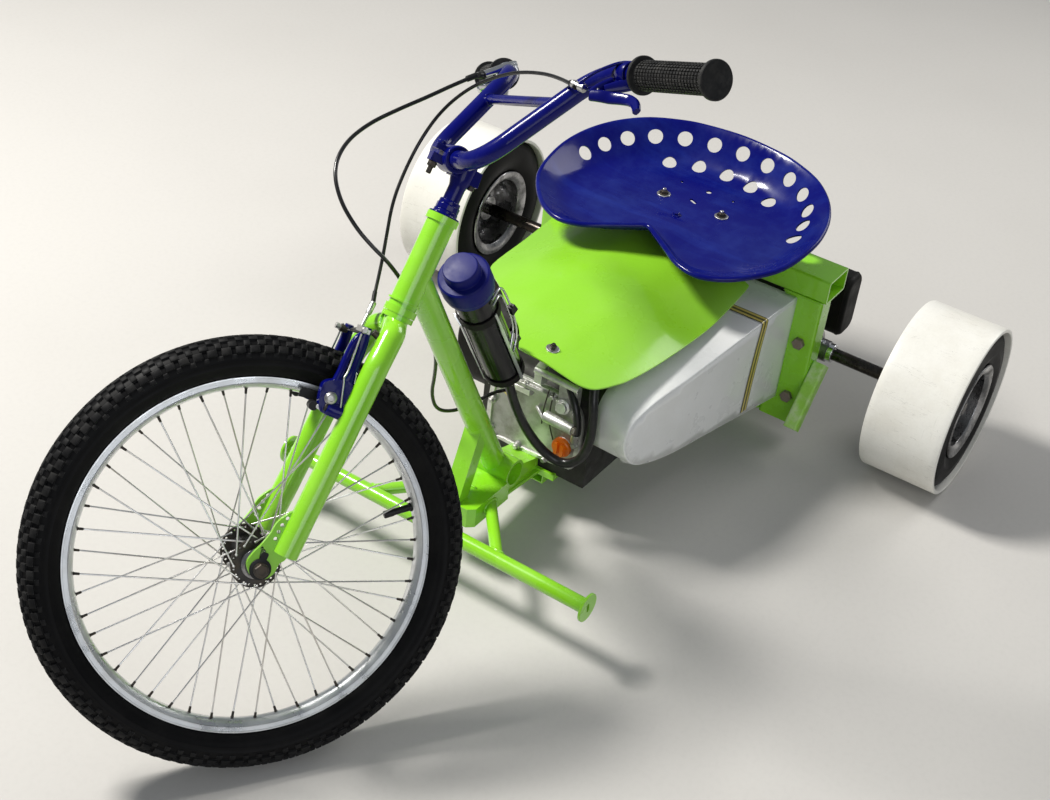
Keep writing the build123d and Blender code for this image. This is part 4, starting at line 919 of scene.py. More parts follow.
DEEP = Vector((-0.798, -0.445, -0.406))    # across the left lever's bracket
for hand, name, node in ((1, "brake_lever_left", "brake_lever"), (-1, "throttle_lever_right", "throttle_lever")):
    lev = Mesh()
    bend, outer = [S(a, hand * w, s) for a, w, s in (BAR_BEND, BAR_END)]
    d = (outer - bend).normalized()
    mid = bend + d * 46.8 * MM
    m = axes(mid, d, U)
    lev.lathe(m, [(11.2, -8), (13.6, -8), (14.4, -7), (14.4, 7), (13.6, 8), (11.2, 8)], 40, 0, closed=True)
    if hand > 0:
        # open bracket: two rails from the ring to the barrel that takes the cable
        blade(lev, [S(*q) for q in ((-61.1, 188.0, 944.5), (-45.4, 180.3, 936.7), (-31.6, 171.9, 921.6), (-25.3, 167.7, 911.5), (-20.5, 163.6, 902.0))], [11, 11, 10, 9, 8], [3.4, 3.6, 3.4, 3.2, 4.0], DEEP)
        blade(lev, [S(*q) for q in ((-63.0, 187.6, 936.0), (-58.0, 183.8, 928.0), (-50.1, 178.4, 917.1), (-39.1, 172.1, 906.9), (-28.1, 165.7, 898.2))], [11, 11, 10, 9, 8], [4.0, 3.8, 3.4, 3.4, 4.0], DEEP)
        blade(lev, [S(-27, 166.6, 897.4), S(-21, 163.4, 902.2)], [9, 9], [7, 7], DEEP)
        blade(lev, [S(-40, 186, 903), S(-50, 190, 911), S(-60, 194.5, 919.5), S(-68, 198.5, 927)], [10, 13, 14, 12], [7, 8, 8, 7], U, 1)
        # web down to the pivot, and the blade
        blade(lev, [S(-47, 181, 916), S(-36, 182, 903), S(-29.5, 184, 892)], [10, 11, 11], [7, 7, 6], L)
        lev.bolt(S(-32, 184, 898), -L, 7, 3.0, 0, 0, 2)
        blade(lev, [S(-28.5, 184, 891), S(-36, 192, 894), S(-44, 199, 896), S(-51, 208, 898.5), S(-57, 217, 900), S(-59.5, 226, 898.5), S(-60.5, 233, 895), S(-61, 239, 889.5)],
              [11.5, 13.0, 13.0, 12.5, 12, 11, 10, 9], [7.0, 7.0, 6.5, 6.5, 6.5, 7, 7, 6.5], U)
        lev.lathe(axes(S(-25, 166, 897.5), S(-17, 152, 898.5) - S(-25, 166, 897.5)), [(0, -2), (5.0, -2), (5.0, 5), (4.0, 5.6), (4.0, 10), (4.7, 10.5), (4.7, 15), (3.2, 16.4), (0, 16.4)], 20, 2)
    else:
        blade(lev, [S(-62, -184, 944), S(-52, -180, 936), S(-38, -176, 923), S(-25, -171, 911)], [15, 17, 15, 11], [10, 10, 9, 8], W)
        blade(lev, [S(-54, -182, 926), S(-60, -182, 914), S(-66, -184, 903)], [14, 15, 12], [8, 9, 8], L)
        lev.lathe(axes(S(-26, -171, 911), S(-15, -158, 906) - S(-26, -171, 911)), [(0, -2), (5.6, -2), (5.8, 4), (4.6, 5), (4.6, 13), (3.4, 15), (0, 15)], 20, 3)
        blade(lev, [S(-32, -181, 900), S(-40, -194, 899), S(-50, -210, 899.5), S(-60, -228, 900), S(-66, -240, 899), S(-70, -250, 897.5)],
              [11, 13, 12, 10.5, 9.5, 8.5], [7.5, 7.0, 6.5, 6.5, 6.5, 6.5], U)
        blade(lev, [S(-45, -180, 915), S(-36, -180, 904), S(-31, -182, 898)], [11, 11, 10], [7, 7, 6], L)
    lev.done(name, "steering", [blue if hand > 0 else chrome, blue, zinc, plastic], "blue_paint" if hand > 0 else "alloy", [node], bevel=0.5, angle=40)

# ------------------------------------------------------------------ rim brake: two arms on the fork's front
brk = Mesh()
ARM_BASE = smooth_loop([(62.0, 489), (61.0, 495.5), (56.5, 500.0), (47, 504.6), (39, 506.5), (31.5, 506), (28.5, 498), (28.0, 482), (28.4, 468), (32, 464.5), (38.8, 463.4),
                        (46, 463.2), (53.5, 465.0), (58.6, 474.5)], 4)
for hand in (1, -1):
    def A(a, w, s):
        return S(a, hand * w, s)
    # upper arm, flat-sided, tapering upwards
    blade(brk, [A(36.0, 43.5, 500), A(34.6, 41.5, 514), A(34.6, 38.0, 529), A(35.0, 35.2, 545), A(36.6, 33.6, 558 if hand > 0 else 555), A(37.4, 33.0, 570 if hand > 0 else 563)],
          [18, 12.0, 11.0, 12.2, 12.6, 9.5], [9.5, 10.5, 11.0, 10.5, 10.5, 9.5], L)
    if hand > 0:
        blade(brk, [A(48.5, 44.4, 501), A(47.5, 42.4, 514), A(47.0, 39.0, 530), A(46.0, 36.4, 545), A(43.5, 35.0, 555), A(39.5, 34.2, 562)], [9.5, 8.5, 8.5, 8.5, 8, 6.0], [9.0, 8.5, 8.5, 9, 9, 8], L)
    # broad base that carries the pad
    z0, z1 = (39.5, 50.0) if hand > 0 else (-50.0, -39.5)
    side_m = axes(S(0, 0, 0), W, L)        # x ahead, y down the axis
    brk.plate(side_m, [(a, -s) for a, s in ARM_BASE], z0, z1, (), 0)
    # pivot on the fork's boss
    brk.lathe(axes(A(20, 47, 471), L, U), [(0, 0), (8.6, 0), (8.6, 26), (7.8, 27), (0, 27)], 28, 0)
    brk.lathe(axes(A(47, 47, 471), L, U), [(0, 0), (5.4, 0), (5.4, 2.6), (4.6, 3.4), (2.4, 3.4), (2.4, 1.4), (0, 1.4)], 20, 2)
    # pad nut outside, stem and pad inside
    pm = axes(A(47.5, 50.0, 482), W * hand, L)
    brk.lathe(pm, [(0, 0), (7.4, 0), (7.4, 1.0), (6.6, 1.6), (6.4, 3.6), (5.4, 4.8), (3.0, 5.2), (2.8, 3.4), (0, 3.4)], 28, 1)
    brk.rod(A(47.5, 40.5, 482), A(47.5, 29.5, 479), 4.2, 16, 1)
    brk.rod(A(61, 47.5, 466.5), A(61, 36, 466.5), 5.4, 18, 4)
    brk.lathe(axes(A(56, 47.6, 468), W * hand, L), [(0, 0), (2.8, 0), (2.8, 1.2), (0, 1.2)], 14, 1)
    # return spring along the outside of the arm
    brk.tube([tuple(q) for q in smooth_loop([tuple(A(*q)) for q in ((29.5, 51.6, 465), (33, 52.2, 476), (36.2, 52.0, 486), (41.2, 51.6, 502), (43.2, 50.6, 509), (41.4, 47.4, 517), (41.6, 43.6, 534),
                                                                      (42.6, 41.0, 553), (42.9, 40.2, 561))], 6, False)], 1.15, 10, 1)
    brk.tube([tuple(A(31.3, 47.0, 519.3)), tuple(A(30.2, 48.4, 513)), tuple(A(29.2, 49.4, 506.7))], 0.8, 8, 1)
    # brake pad in its holder, curved with the rim
    pm = axes(A(47, 22.5, 476), W * -hand, L)
    ts = list(np.linspace(-27, 27, 13))
    dy = [sqrt(207.0 ** 2 - (47 + q - HUB_A) ** 2) - 207.0 for q in ts]
    sgn = 1.0 if (pm.to_3x3() @ Vector((0, 1, 0))).dot(U) > 0 else -1.0
    upper = [(q, sgn * (h + 5.4)) for q, h in zip(ts, dy)]
    lower = [(q, sgn * (h - 5.4)) for q, h in zip(ts, dy)][::-1]
    brk.plate(pm, upper + lower, 0.0, 3.4, (), 4)
    brk.plate(pm, [(q * 0.97, y) for q, y in upper] + [(q * 0.97, y) for q, y in lower], 3.2, 7.4, (), 3)
# left arm: the noodle's holder; right arm: the cable bolt and its rubber sleeve
brk.box(axes(S(39.5, 30, 565.6), W, L), (-6.5, -3.4, -8), (6.5, 3.4, 8.5), 1, 0.8)
brk.lathe(axes(S(41, 38.4, 566), W, L), [(0, 0), (4.0, 0), (4.0, 1.6), (3.0, 2.6), (0, 2.6)], 18, 1)
brk.rod(S(30, 35, 568), S(17.5, 36, 564), 4.2, 16, 2)
brk.hexagon(axes(S(17.5, 36, 564), S(17.5, 36, 564) - S(30, 35, 568)), 7.0, 2.4, 2)
brk.rod(S(38, -32, 555.5), S(47, -32, 556), 4.6, 16, 2)
brk.rod(S(47, -32, 556), S(53, -32, 556.2), 3.4, 16, 1)
brk.bolt(S(34, -26, 508.5), L, 7.5, 4.5, 4.8, 0, 1)
noodle = smooth_loop([tuple(S(*q)) for q in ((27.5, -17.5, 596.5), (29.0, -13, 587), (31.2, -7.6, 575), (33.2, -1.2, 566), (34.6, 7, 563.2), (36.2, 18, 563.8), (38, 27, 565))], 8, False)
brk.tube(noodle, 2.35, 12, 1)
brk.lathe(axes(S(27.2, -18.2, 597.6), S(30.4, -9.6, 579) - S(27.2, -18.2, 597.6)), [(0, 0), (3.4, 0), (3.7, 1.2), (3.6, 14.5), (3.0, 16), (0, 16)], 18, 1)
brk.tube([tuple(S(*q)) for q in ((38, 30, 565.4), (38, 0, 561), (38.6, -31, 556))], 0.9, 8, 1)
brk.tube([tuple(S(*q)) for q in ((37.6, 21, 564.2), (37.6, 10, 562.6), (37.8, -4, 560.6), (38, -18, 558.4))], [3.4, 3.8, 3.2, 2.0], 12, 4)
brk.done("rim_brake", "steering", [blue, zinc, dark_steel, tyre_side, plastic], "blue_paint", ["brake_arms"], bevel=0.9, angle=42)

# ------------------------------------------------------------------ seat pan
SEAT_HALF = ((-101, 0), (-94, 67), (-83, 105), (-62, 147), (-34, 178), (-2, 200), (36, 215), (80, 221.5), (126, 218), (160, 210), (182, 199), (207, 180),
             (229, 157), (243, 130), (245, 109), (237, 82), (219, 54), (201, 26), (187, 0))
SEAT_CX, LIP = 92.0, 5.0
seat_loop = np.array(smooth_loop(list(SEAT_HALF) + [(x, -y) for x, y in SEAT_HALF[-2:0:-1]], 8))
ang = np.arctan2(seat_loop[:, 1], seat_loop[:, 0] - SEAT_CX)
rad = np.hypot(seat_loop[:, 0] - SEAT_CX, seat_loop[:, 1])
order = np.argsort(ang)
ang, rad = ang[order], rad[order]


def seat_radius(a):
    return np.interp(a, ang, rad, period=2 * pi) - LIP


# a nearly flat middle, then a steep wall up to the lip
WALL_R = np.linspace(0.34, 1.06, 120)
WALL_S = np.interp(WALL_R, (0.34, 0.70, 0.78, 0.86, 0.92, 1.0, 1.06), (0, 0.12, 0.35, 1.2, 1.7, 1.5, 1.5))
WALL_H = np.concatenate([[0.0], np.cumsum((WALL_S[1:] + WALL_S[:-1]) / 2 * np.diff(WALL_R))])
WALL_H /= np.interp(1.0, WALL_R, WALL_H)


def seat_height(x, y):
    a = np.arctan2(y, x - SEAT_CX)
    big = seat_radius(a)
    rho = np.hypot(x - SEAT_CX, y) / big
    xr = SEAT_CX + np.cos(a) * big
    zr = 353.5 - (xr - 77) * 0.145
    # shallow thigh wells either side of a low ridge in front
    ridge = 4.5 * np.exp(-(y / 42.0) ** 2) * np.clip((x - 95) / 60, 0, 1) * np.clip(1.0 - rho, 0, 1) * 2.2
    return 314.5 + (zr - 314.5) * np.interp(rho, WALL_R, WALL_H) + ridge


NSEAT = 180
angles = [2 * pi * i / NSEAT for i in range(NSEAT)]
rim2 = [(SEAT_CX + float(seat_radius(a)) * cos(a), float(seat_radius(a)) * sin(a)) for a in angles]
SEAT_HOLES = [(a, r, 12.0) for a, r in ((-100.7, 196.0), (-112.6, 197.0), (-124.5, 195.8), (-137.7, 190.9), (-152.0, 183.3), (-167.4, 176.6), (176.6, 175.8),
                                        (161.4, 179.1), (146.7, 186.9), (134.7, 192.3), (123.7, 192.9), (115.1, 186.5), (105.0, 178.0))]
SEAT_HOLES += [(a, r, 11.2) for a, r in ((-144.9, 157.0), (-162.4, 152.5), (179.5, 150.2), (161.9, 151.7), (144.8, 154.0))]


def seat_hole(cx, cy, r, n=26, ry=None, turn=0.0):
    """A round hole on the curved pan, as a loop in plan."""
    e = 0.5
    z = float(seat_height(cx, cy))
    gx = (float(seat_height(cx + e, cy)) - float(seat_height(cx - e, cy))) / (2 * e)
    gy = (float(seat_height(cx, cy + e)) - float(seat_height(cx, cy - e))) / (2 * e)
    nrm = Vector((-gx, -gy, 1)).normalized()
    tx = Vector((1, 0, gx)).normalized()
    ty = nrm.cross(tx)
    out = []
    for i in range(n):
        a = 2 * pi * i / n
        px, py = r * cos(a), (ry or r) * sin(a)
        px, py = px * cos(turn) - py * sin(turn), px * sin(turn) + py * cos(turn)
        v = tx * px + ty * py
        out.append((cx + v.x, cy + v.y))
    return out


holes = [seat_hole(SEAT_CX + r * cos(radians(a)), r * sin(radians(a)), rr) for a, r, rr in SEAT_HOLES]
holes.append(rounded2(34.3, -5.1, 6.0, 16.0, 2.8, 4, radians(-28)))
holes.append(seat_hole(-7.5, -0.7, 4.6, 14))
holes.append(seat_hole(-6.9, -48.8, 2.6, 12))
holes.append(seat_hole(-6.9, 42.7, 2.6, 12))
v2, f2, loops2 = fill2(rim2, holes, 6.5)
seat = Mesh()
top = [(float(x), float(y), float(seat_height(x, y))) for x, y in v2]
nn = len(top)
e = 0.4
norms = []
for x, y in v2:
    gx = (seat_height(x + e, y) - seat_height(x - e, y)) / (2 * e)
    gy = (seat_height(x, y + e) - seat_height(x, y - e)) / (2 * e)
    norms.append(Vector((-float(gx), -float(gy), 1)).normalized())
T = 2.6
bot = [(p[0] - n.x * T, p[1] - n.y * T, p[2] - n.z * T) for p, n in zip(top, norms)]
faces = list(f2) + [tuple(i + nn for i in t[::-1]) for t in f2]
for lp in loops2[1:]:
    for i in range(len(lp)):
        a, b = lp[i], lp[(i + 1) % len(lp)]
        faces.append((a, b, b + nn, a + nn))
verts = top + bot
# the rolled lip: out over the edge and down
rimloop = loops2[0]
prev_t, prev_b = list(rimloop), [i + nn for i in rimloop]
steps = 9
for s in range(1, steps + 1):
    cur_t, cur_b = [], []
    for i, vi in enumerate(rimloop):
        a = atan2(v2[vi][1], v2[vi][0] - SEAT_CX)
        j, k_ = (i - 1) % len(rimloop), (i + 1) % len(rimloop)
        tang = Vector((v2[rimloop[k_]][0] - v2[rimloop[j]][0], v2[rimloop[k_]][1] - v2[rimloop[j]][1], 0)).normalized()
        out_ = Vector((tang.y, -tang.x, 0))
        if out_.dot(Vector((cos(a), sin(a), 0))) < 0:
            out_ = -out_
        start = radians(46)
        end = radians(-150)
        R = 4.2
        th = start + (end - start) * s / steps
        # travelled arc, heading th at each step
        cx_, cz_ = R * sin(start), -R * cos(start)
        px_, pz_ = cx_ - R * sin(th), cz_ + R * cos(th)
        p = Vector(top[vi])
        q = p + out_ * px_ + Vector((0, 0, pz_))
        nin = (out_ * sin(th) * -1 + Vector((0, 0, cos(th))))
        r = q - nin * T * (0.9 if s < steps else 0.8)
        cur_t.append(len(verts)); verts.append(tuple(q))
        cur_b.append(len(verts)); verts.append(tuple(r))
    m_ = len(rimloop)
    for i in range(m_):
        j = (i + 1) % m_
        faces.append((prev_t[i], prev_t[j], cur_t[j], cur_t[i]))
        faces.append((prev_b[j], prev_b[i], cur_b[i], cur_b[j]))
    prev_t, prev_b = cur_t, cur_b
for i in range(len(rimloop)):
    j = (i + 1) % len(rimloop)
    faces.append((prev_t[i], prev_t[j], prev_b[j], prev_b[i]))
seat.put(VM, verts, faces)
seat.done("seat_pan_pressed", "frame", blue_seat, "blue_paint", ["seat_pan"], angle=50, weld=False)

sb = Mesh()
for x, y in ((46.6, 51.0), (46.6, -51.0)):
    p = P(x, y, 294.1)
    sb.lathe(axes(p, Vector((0, 0, 1))), [(5, 0), (12.6, 0), (13, 0.6), (13, 16.6), (12.6, 17.2), (5, 17.2)], 32, 1, closed=True)
    p = P(x, y, 314.6)
    m = axes(p, Vector((0, 0, 1)))
    sb.lathe(m, [(0, 0), (10.8, 0), (10.8, 1.1), (10.2, 1.6), (0, 1.6)], 36, 0)
    sb.lathe(m, [(0, 1.6), (7.4, 1.6), (7.4, 2.6), (0, 2.6)], 28, 2)
    sb.hexagon(m, 10.0, 4.6, 2, 2.4)
    sb.lathe(m, [(0, 6.8), (2.9, 6.8), (2.9, 9.4), (2.2, 10.2), (0, 10.2)], 16, 0)
sb.done("seat_bolts_washers", "frame", [zinc, lime, dark_steel], "steel", ["seat_bolts"], bevel=0.25, angle=30)
sb = Mesh()
sb.bolt(P(91, -3, 314.6), Vector((0, 0, 1)), 9, 3.6, 7.5)
sb.done("seat_bolt_painted", "frame", blue, "blue_paint", bevel=0.3, angle=30)

# ------------------------------------------------------------------ hood over the engine
HOOD_LOOP = [(518, 7), (517.5, 30), (517.5, 54), (517, 80), (515, 99), (506, 114), (491, 123), (470, 130), (448, 136), (399, 143), (331, 148.5), (246, 152), (178, 149),
             (129, 145.5), (113, 143.5), (109, 142.5), (108, 138), (108, 120), (108, 60), (108, 0), (108, -60), (108, -120), (108, -180), (116, -191), (135, -190), (230, -180), (329, -171),
             (366, -142.5), (398, -110), (428.6, -79), (455, -48), (478, -23), (500, -7), (511, 0)]
hood2 = smooth_loop(HOOD_LOOP, 4)


def hood_height(x, y):
    base = 292.0 - 40.0 * ((y + 20) / 180.0) ** 2
    # the sheet is bent on shallow straight lines, so it falls in facets
    lines = (-200, -118, -40, 46, 92, 124, 170)
    zs = [292.0 - 40.0 * ((q + 20) / 180.0) ** 2 for q in lines]
    flat = np.interp(y, lines, zs)
    z = flat * 0.72 + base * 0.28 + 0.35
    return z


v2, f2, loops2 = fill2(hood2, (), 9.0)
hood = Mesh()
tz = [float(hood_height(x, y)) for x, y in v2]
n2 = len(v2)
verts = [(x, y, z) for (x, y), z in zip(v2, tz)] + [(x, y, z - 2.0) for (x, y), z in zip(v2, tz)]
faces = list(f2) + [tuple(i + n2 for i in t[::-1]) for t in f2]
lp = loops2[0]
faces += [(lp[i], lp[(i + 1) % len(lp)], lp[(i + 1) % len(lp)] + n2, lp[i] + n2) for i in range(len(lp))]
hood.put(VM, verts, faces)
hood.done("hood_sheet", "frame", lime_flat, "lime_paint", ["hood"], angle=40, weld=False)
hb = Mesh()
hz = float(hood_height(486, 38)) + 0.1
hn = Vector((0, 2 * 40 * 58 / 180.0 ** 2, 1)).normalized()
hb.bolt(P(486, 38, hz), hn, 8.5, 5.5, 9.5, 0, 1, 0)
hb.lathe(axes(P(486, 38, hz), hn), [(0, 7.0), (2.6, 7.0), (2.6, 9.2), (0, 9.2)], 14, 1)
hb.done("hood_bolt", "frame", [zinc, dark_steel], "steel", bevel=0.3, angle=30)

# ------------------------------------------------------------------ side cover
def cover_y(x):
    """How far out the cover's face stands, along it."""
    return float(np.interp(x, (60, 75.3, 359, 486), (210.4, 209.0, 182.0, 163.5)))


COVER = [(74, 68), (165, 81.5), (270, 97), (375, 112.5), (425, 125), (452, 137), (468, 153), (478, 172), (481, 190), (477, 206), (465, 218), (445, 226), (412, 232.5),
         (350, 237.5), (290, 241), (226, 244.5), (150, 248), (74, 251)]
line = smooth_loop(COVER, 5, False)
cov = Mesh()
R = 2.6
nl = len(line)
rows = []
for i, (x, z) in enumerate(line):
    a, b = line[max(i - 1, 0)], line[min(i + 1, nl - 1)]
    tx, tz_ = b[0] - a[0], b[1] - a[1]
    h = hypot(tx, tz_)
    inx, inz = -tz_ / h, tx / h           # towards the middle of the face
    row = []
    frac = i / (nl - 1)
    y_in = 104.0 if z > 150 and frac > 0.3 else (104.0 if frac > 0.36 else 150.0)
    if frac < 0.10:
        y_in = cover_y(x) - 16.0
    elif frac < 0.22:
        y_in = cover_y(x) - 16.0 + (104.0 - cover_y(x) + 16.0) * (frac - 0.10) / 0.12
    ytop = cover_y(x)
    wx = 0.0
    for q in range(5):
        y = y_in + (ytop - R - y_in) * q / 4
        # the front wall leans back towards the engine
        lean = (ytop - R - y) / 80.0
        xx = x - (max(x - 440, 0) * 0.62) * lean if frac > 0.3 else x
        flare = np.exp(-(((x - 448) ** 2 + (z - 132) ** 2) / 42.0 ** 2)) * (ytop - R - y) / (ytop - R - 104.0) if frac < 0.45 else 0.0
        row.append((xx + 7.0 * flare, y, z - 13.0 * flare))
    for q in range(1, 7):
        t = radians(90 * q / 6)
        row.append((x + inx * R * (1 - cos(t)), ytop - R * (1 - sin(t)), z + inz * R * (1 - cos(t))))
    rows.append(row)
verts = [p for row in rows for p in row]
w_ = len(rows[0])
faces = [(i * w_ + j, (i + 1) * w_ + j, (i + 1) * w_ + j + 1, i * w_ + j + 1) for i in range(nl - 1) for j in range(w_ - 1)]
inner = [(row[-1][0], row[-1][2]) for row in rows]
v2, f2, loops2 = fill2(inner, (), 14.0)
b0 = len(verts)
verts += [(x, cover_y(x), z) for x, z in v2]
faces += [tuple(b0 + i for i in t) for t in f2]
cov.put(VM, verts, faces)
bm_cov = cov.done("side_cover_panel", "frame", white, "white_panel", ["side_cover"], angle=32, solid=1.8, outward=Vector((0, 1, 0)))
# thin two-line stripe round it
stripe = Mesh()


def strip(mesh, pts, nrm, wid, k, lift=0.35):
    vs, fs = [], []
    for i, p in enumerate(pts):
        a, b = pts[max(i - 1, 0)], pts[min(i + 1, len(pts) - 1)]
        t = (Vector(b) - Vector(a)).normalized()
        n_ = nrm[i] if isinstance(nrm, list) else nrm
        s_ = t.cross(n_).normalized()
        vs += [Vector(p) + n_ * lift - s_ * wid / 2, Vector(p) + n_ * lift + s_ * wid / 2]
    for i in range(len(pts) - 1):
        fs.append((2 * i, 2 * i + 1, 2 * i + 3, 2 * i + 2))
    mesh.put(VM, vs, fs, k)


def cover_path(shift):
    """The stripe's line: over the top fold, then down the face."""
    pts, nrms = [], []
    x_top = 163.0 + shift
    zt = float(np.interp(x_top, [p[0] for p in COVER[::-1]][:8], [p[1] for p in COVER[::-1]][:8]))
    up = Vector((0.012, 0, 1)).normalized()
    face_n = Vector((27, 285, 0)).normalized()
    for y in (140, 160, 180, cover_y(x_top) - R):
        pts.append((x_top, y, zt)); nrms.append(up)
    for q in range(1, 7):
        t = radians(90 * q / 6)
        pts.append((x_top, cover_y(x_top) - R * (1 - sin(t)), zt - R * (1 - cos(t))))
        nrms.append((up * cos(t) + face_n * sin(t)).normalized())
    for x, z in ((164, 232), (166, 215), (168, 195), (170, 170), (172, 140), (173, 110), (174, 91)):
        pts.append((x + shift, cover_y(x + shift), z)); nrms.append(face_n)
    return pts, nrms


for shift, wid, k, lift in ((0.0, 17.0, 0, 0.80), (-4.2, 4.4, 1, 1.05), (4.2, 4.4, 1, 1.05)):
    pts, nrms = cover_path(shift)
    strip(stripe, pts, nrms, wid, k, lift)
stripe.done("cover_stripe", "frame", [olive, gold], "white_panel", angle=60, outward=Vector((0, 0.7, 0.7)))

# ------------------------------------------------------------------ rear wheels
tyres = Mesh()
for hand in (1, -1):
    m = axes(P(0, hand * 430.5, 134), Vector((0, hand, 0)), Vector((1, 0, 0)))
    prof = [(63, -46), (74, -50), (75.4, -51.4), (79, -53.4), (88, -56.6), (96, -58), (104, -57.4), (114, -55), (122, -52), (127.6, -47.5), (128.2, -44), (128.2, 44),
            (127.6, 47.5), (122, 52), (114, 55), (112.2, 55.9), (110.6, 55.7), (104, 57.4), (96, 58), (94.6, 58.5), (92.8, 58.2), (88, 56.6), (79, 53.4), (75.4, 51.4), (74, 50), (63, 46)]
    tyres.lathe(m, prof, 128, 0, closed=True)
tyres.done("rear_tyres_slick", "rear_axle", slick, "tyre", ["rear_tyres"], angle=35)
slv = Mesh()
for hand in (1, -1):
    m = axes(P(0, hand * 430.5, 134), Vector((0, hand, 0)), Vector((1, 0, 0)))
    o, i_, h = 134.0, 128.45, 59.8
    prof = [(i_, -h + 0.8), (i_ + 0.9, -h), (o - 2.0, -h), (o - 0.7, -h + 0.6), (o, -h + 2.2)]
    prof += [(o, -h + 2.2 + (2 * h - 4.4) * q / 12) for q in range(1, 12)]
    prof += [(o, h - 2.2), (o - 0.7, h - 0.6), (o - 2.0, h), (i_ + 0.9, h), (i_, h - 0.8)]
    slv.lathe(m, prof, 144, 0, closed=True)
slv.done("drift_sleeves", "rear_axle", sleeve_mat, "sleeve", ["rear_sleeves"], angle=30)
rims = Mesh()
for hand in (1, -1):
    m = axes(P(0, hand * 430.5, 134), Vector((0, hand, 0)), Vector((1, 0, 0)))
    barrel = [(75, -56), (76, -54.6), (75, -52.6), (66, -51), (62.2, -48), (61.8, -20), (60.0, -12), (60.0, 8), (61.8, 20), (62.2, 48), (66, 51), (75, 52.6), (76, 54.6), (75, 56),
              (72.6, 56.4), (64, 54), (58.4, 50), (57.6, 24), (56.2, 14), (56.2, -8), (57.6, -22), (58.4, -50), (64, -54), (72.6, -56.4)]
    rims.lathe(m, barrel, 96, 0, closed=True)
    win = []
    for j in range(5):
        a = 2 * pi * (j + 0.5) / 5
        pts = []
        for rr, span in ((31.0, 0.30), (37.0, 0.40), (47.5, 0.42), (50.5, 0.34)):
            pts.append((rr, span))
        lp = [(r * cos(a - s), r * sin(a - s)) for r, s in pts] + [(r * cos(a + s), r * sin(a + s)) for r, s in pts[::-1]]
        win.append(smooth_loop(lp, 4))
    rims.plate(m, circle2(0, 0, 57.0, 96), 9.5, 14.5, [circle2(0, 0, 20, 40)] + win, 0)
    # raised ribs beside the windows and the hub
    for j in range(5):
        a = 2 * pi * j / 5
        c, s = cos(a), sin(a)
        q = axes(m @ Vector((0, 0, 0)), Vector((0, hand, 0)), (m.to_3x3() @ Vector((c, s, 0))))
        rims.box(q, (20, -4.0, 7.0), (56.5, 4.0, 17.5), 0, 1.6)
    rims.lathe(m, [(10.0, -30), (21, -30), (22, -29), (22, 8), (24.5, 9.5), (24.5, 15), (22, 17), (22, 33), (21, 34), (10.0, 34)], 48, 0, closed=True)
    for j in range(5):
        a = 2 * pi * j / 5 + 0.31
        rims.hexagon(axes(m @ Vector((30 * cos(a), 30 * sin(a), 14.5)), Vector((0, hand, 0))), 7, 4, 1)
    rims.hexagon(axes(m @ Vector((0, 0, 34)), Vector((0, hand, 0))), 27, 9.0, 1, 0.0, 9.9)
    rims.lathe(m, [(0, 34), (9.9, 34), (9.9, 44.9), (9.0, 45.6), (0, 45.6)], 32, 2)
rims.done("rear_rims_alloy", "rear_axle", [alloy_dirty, zinc, axle_steel], "alloy", ["rear_rims"], bevel=0.4, angle=30)

# ------------------------------------------------------------------ rear frame hardware
hw = Mesh()
for hand in (1, -1):
    for z in (178, 80):
        hw.bolt(P(75.05, hand * 227, z), Vector((1, 0, 0)), 17, 8, 0, 0)
        hw.bolt(P(23.9, hand * 217.5, z), Vector((-1, 0, 0)), 15, 9, 12, 5)
hw.done("post_bolts", "frame", rust_bolt, "steel", bevel=0.6, angle=30)
brg = Mesh()
for hand in (1, -1):
    m = axes(P(0, hand * 217.5, 134), Vector((0, hand, 0)), Vector((1, 0, 0)))
    brg.lathe(m, [(10.2, 12.6), (16.5, 12.6), (17.4, 13.4), (17.4, 14.0), (10.2, 14.0)], 36, 0, closed=True)
    brg.lathe(m, [(20, 12.6), (26, 12.6), (26, 13.4), (20, 13.4)], 36, 0, closed=True)
brg.done("bearing_seals", "frame", zinc, "steel", angle=30)
col = Mesh()
for hand in (1, -1):
    col.bolt(P(0, hand * 241, 134) + Vector((0.35, 0, 1)).normalized() * 16.8 * MM, Vector((0.35, 0, 1)), 6, 3.0)
    # polished bearing insert beside the collar
    m = axes(P(0, hand * 250, 134), Vector((0, hand, 0)), Vector((1, 0, 0)))
    col.lathe(m, [(10.0, 0.05), (14.6, 0.05), (15.0, 0.6), (15.0, 9.0), (13.8, 10.2), (10.0, 10.2)], 40, 0, closed=True)
col.done("collar_details", "rear_axle", chrome, "alloy", bevel=0.3, angle=30)

# ------------------------------------------------------------------ drive chain
CHAIN = []
r1, r2, c1, c2 = 62.0, 22.0, (0.0, 134.0), (350.0, 174.0)
dx, dz = c2[0] - c1[0], c2[1] - c1[1]
dist = hypot(dx, dz)
base = atan2(dz, dx)
off = acos((r1 - r2) / dist)
top1, bot1 = base + off, base - off
arc_big = 2 * pi - 2 * off
arc_small = 2 * off
run = sqrt(dist ** 2 - (r1 - r2) ** 2)
total = 2 * run + r1 * arc_big + r2 * arc_small
links = int(round(total / 12.7))
links += links % 2
pitch = total / links


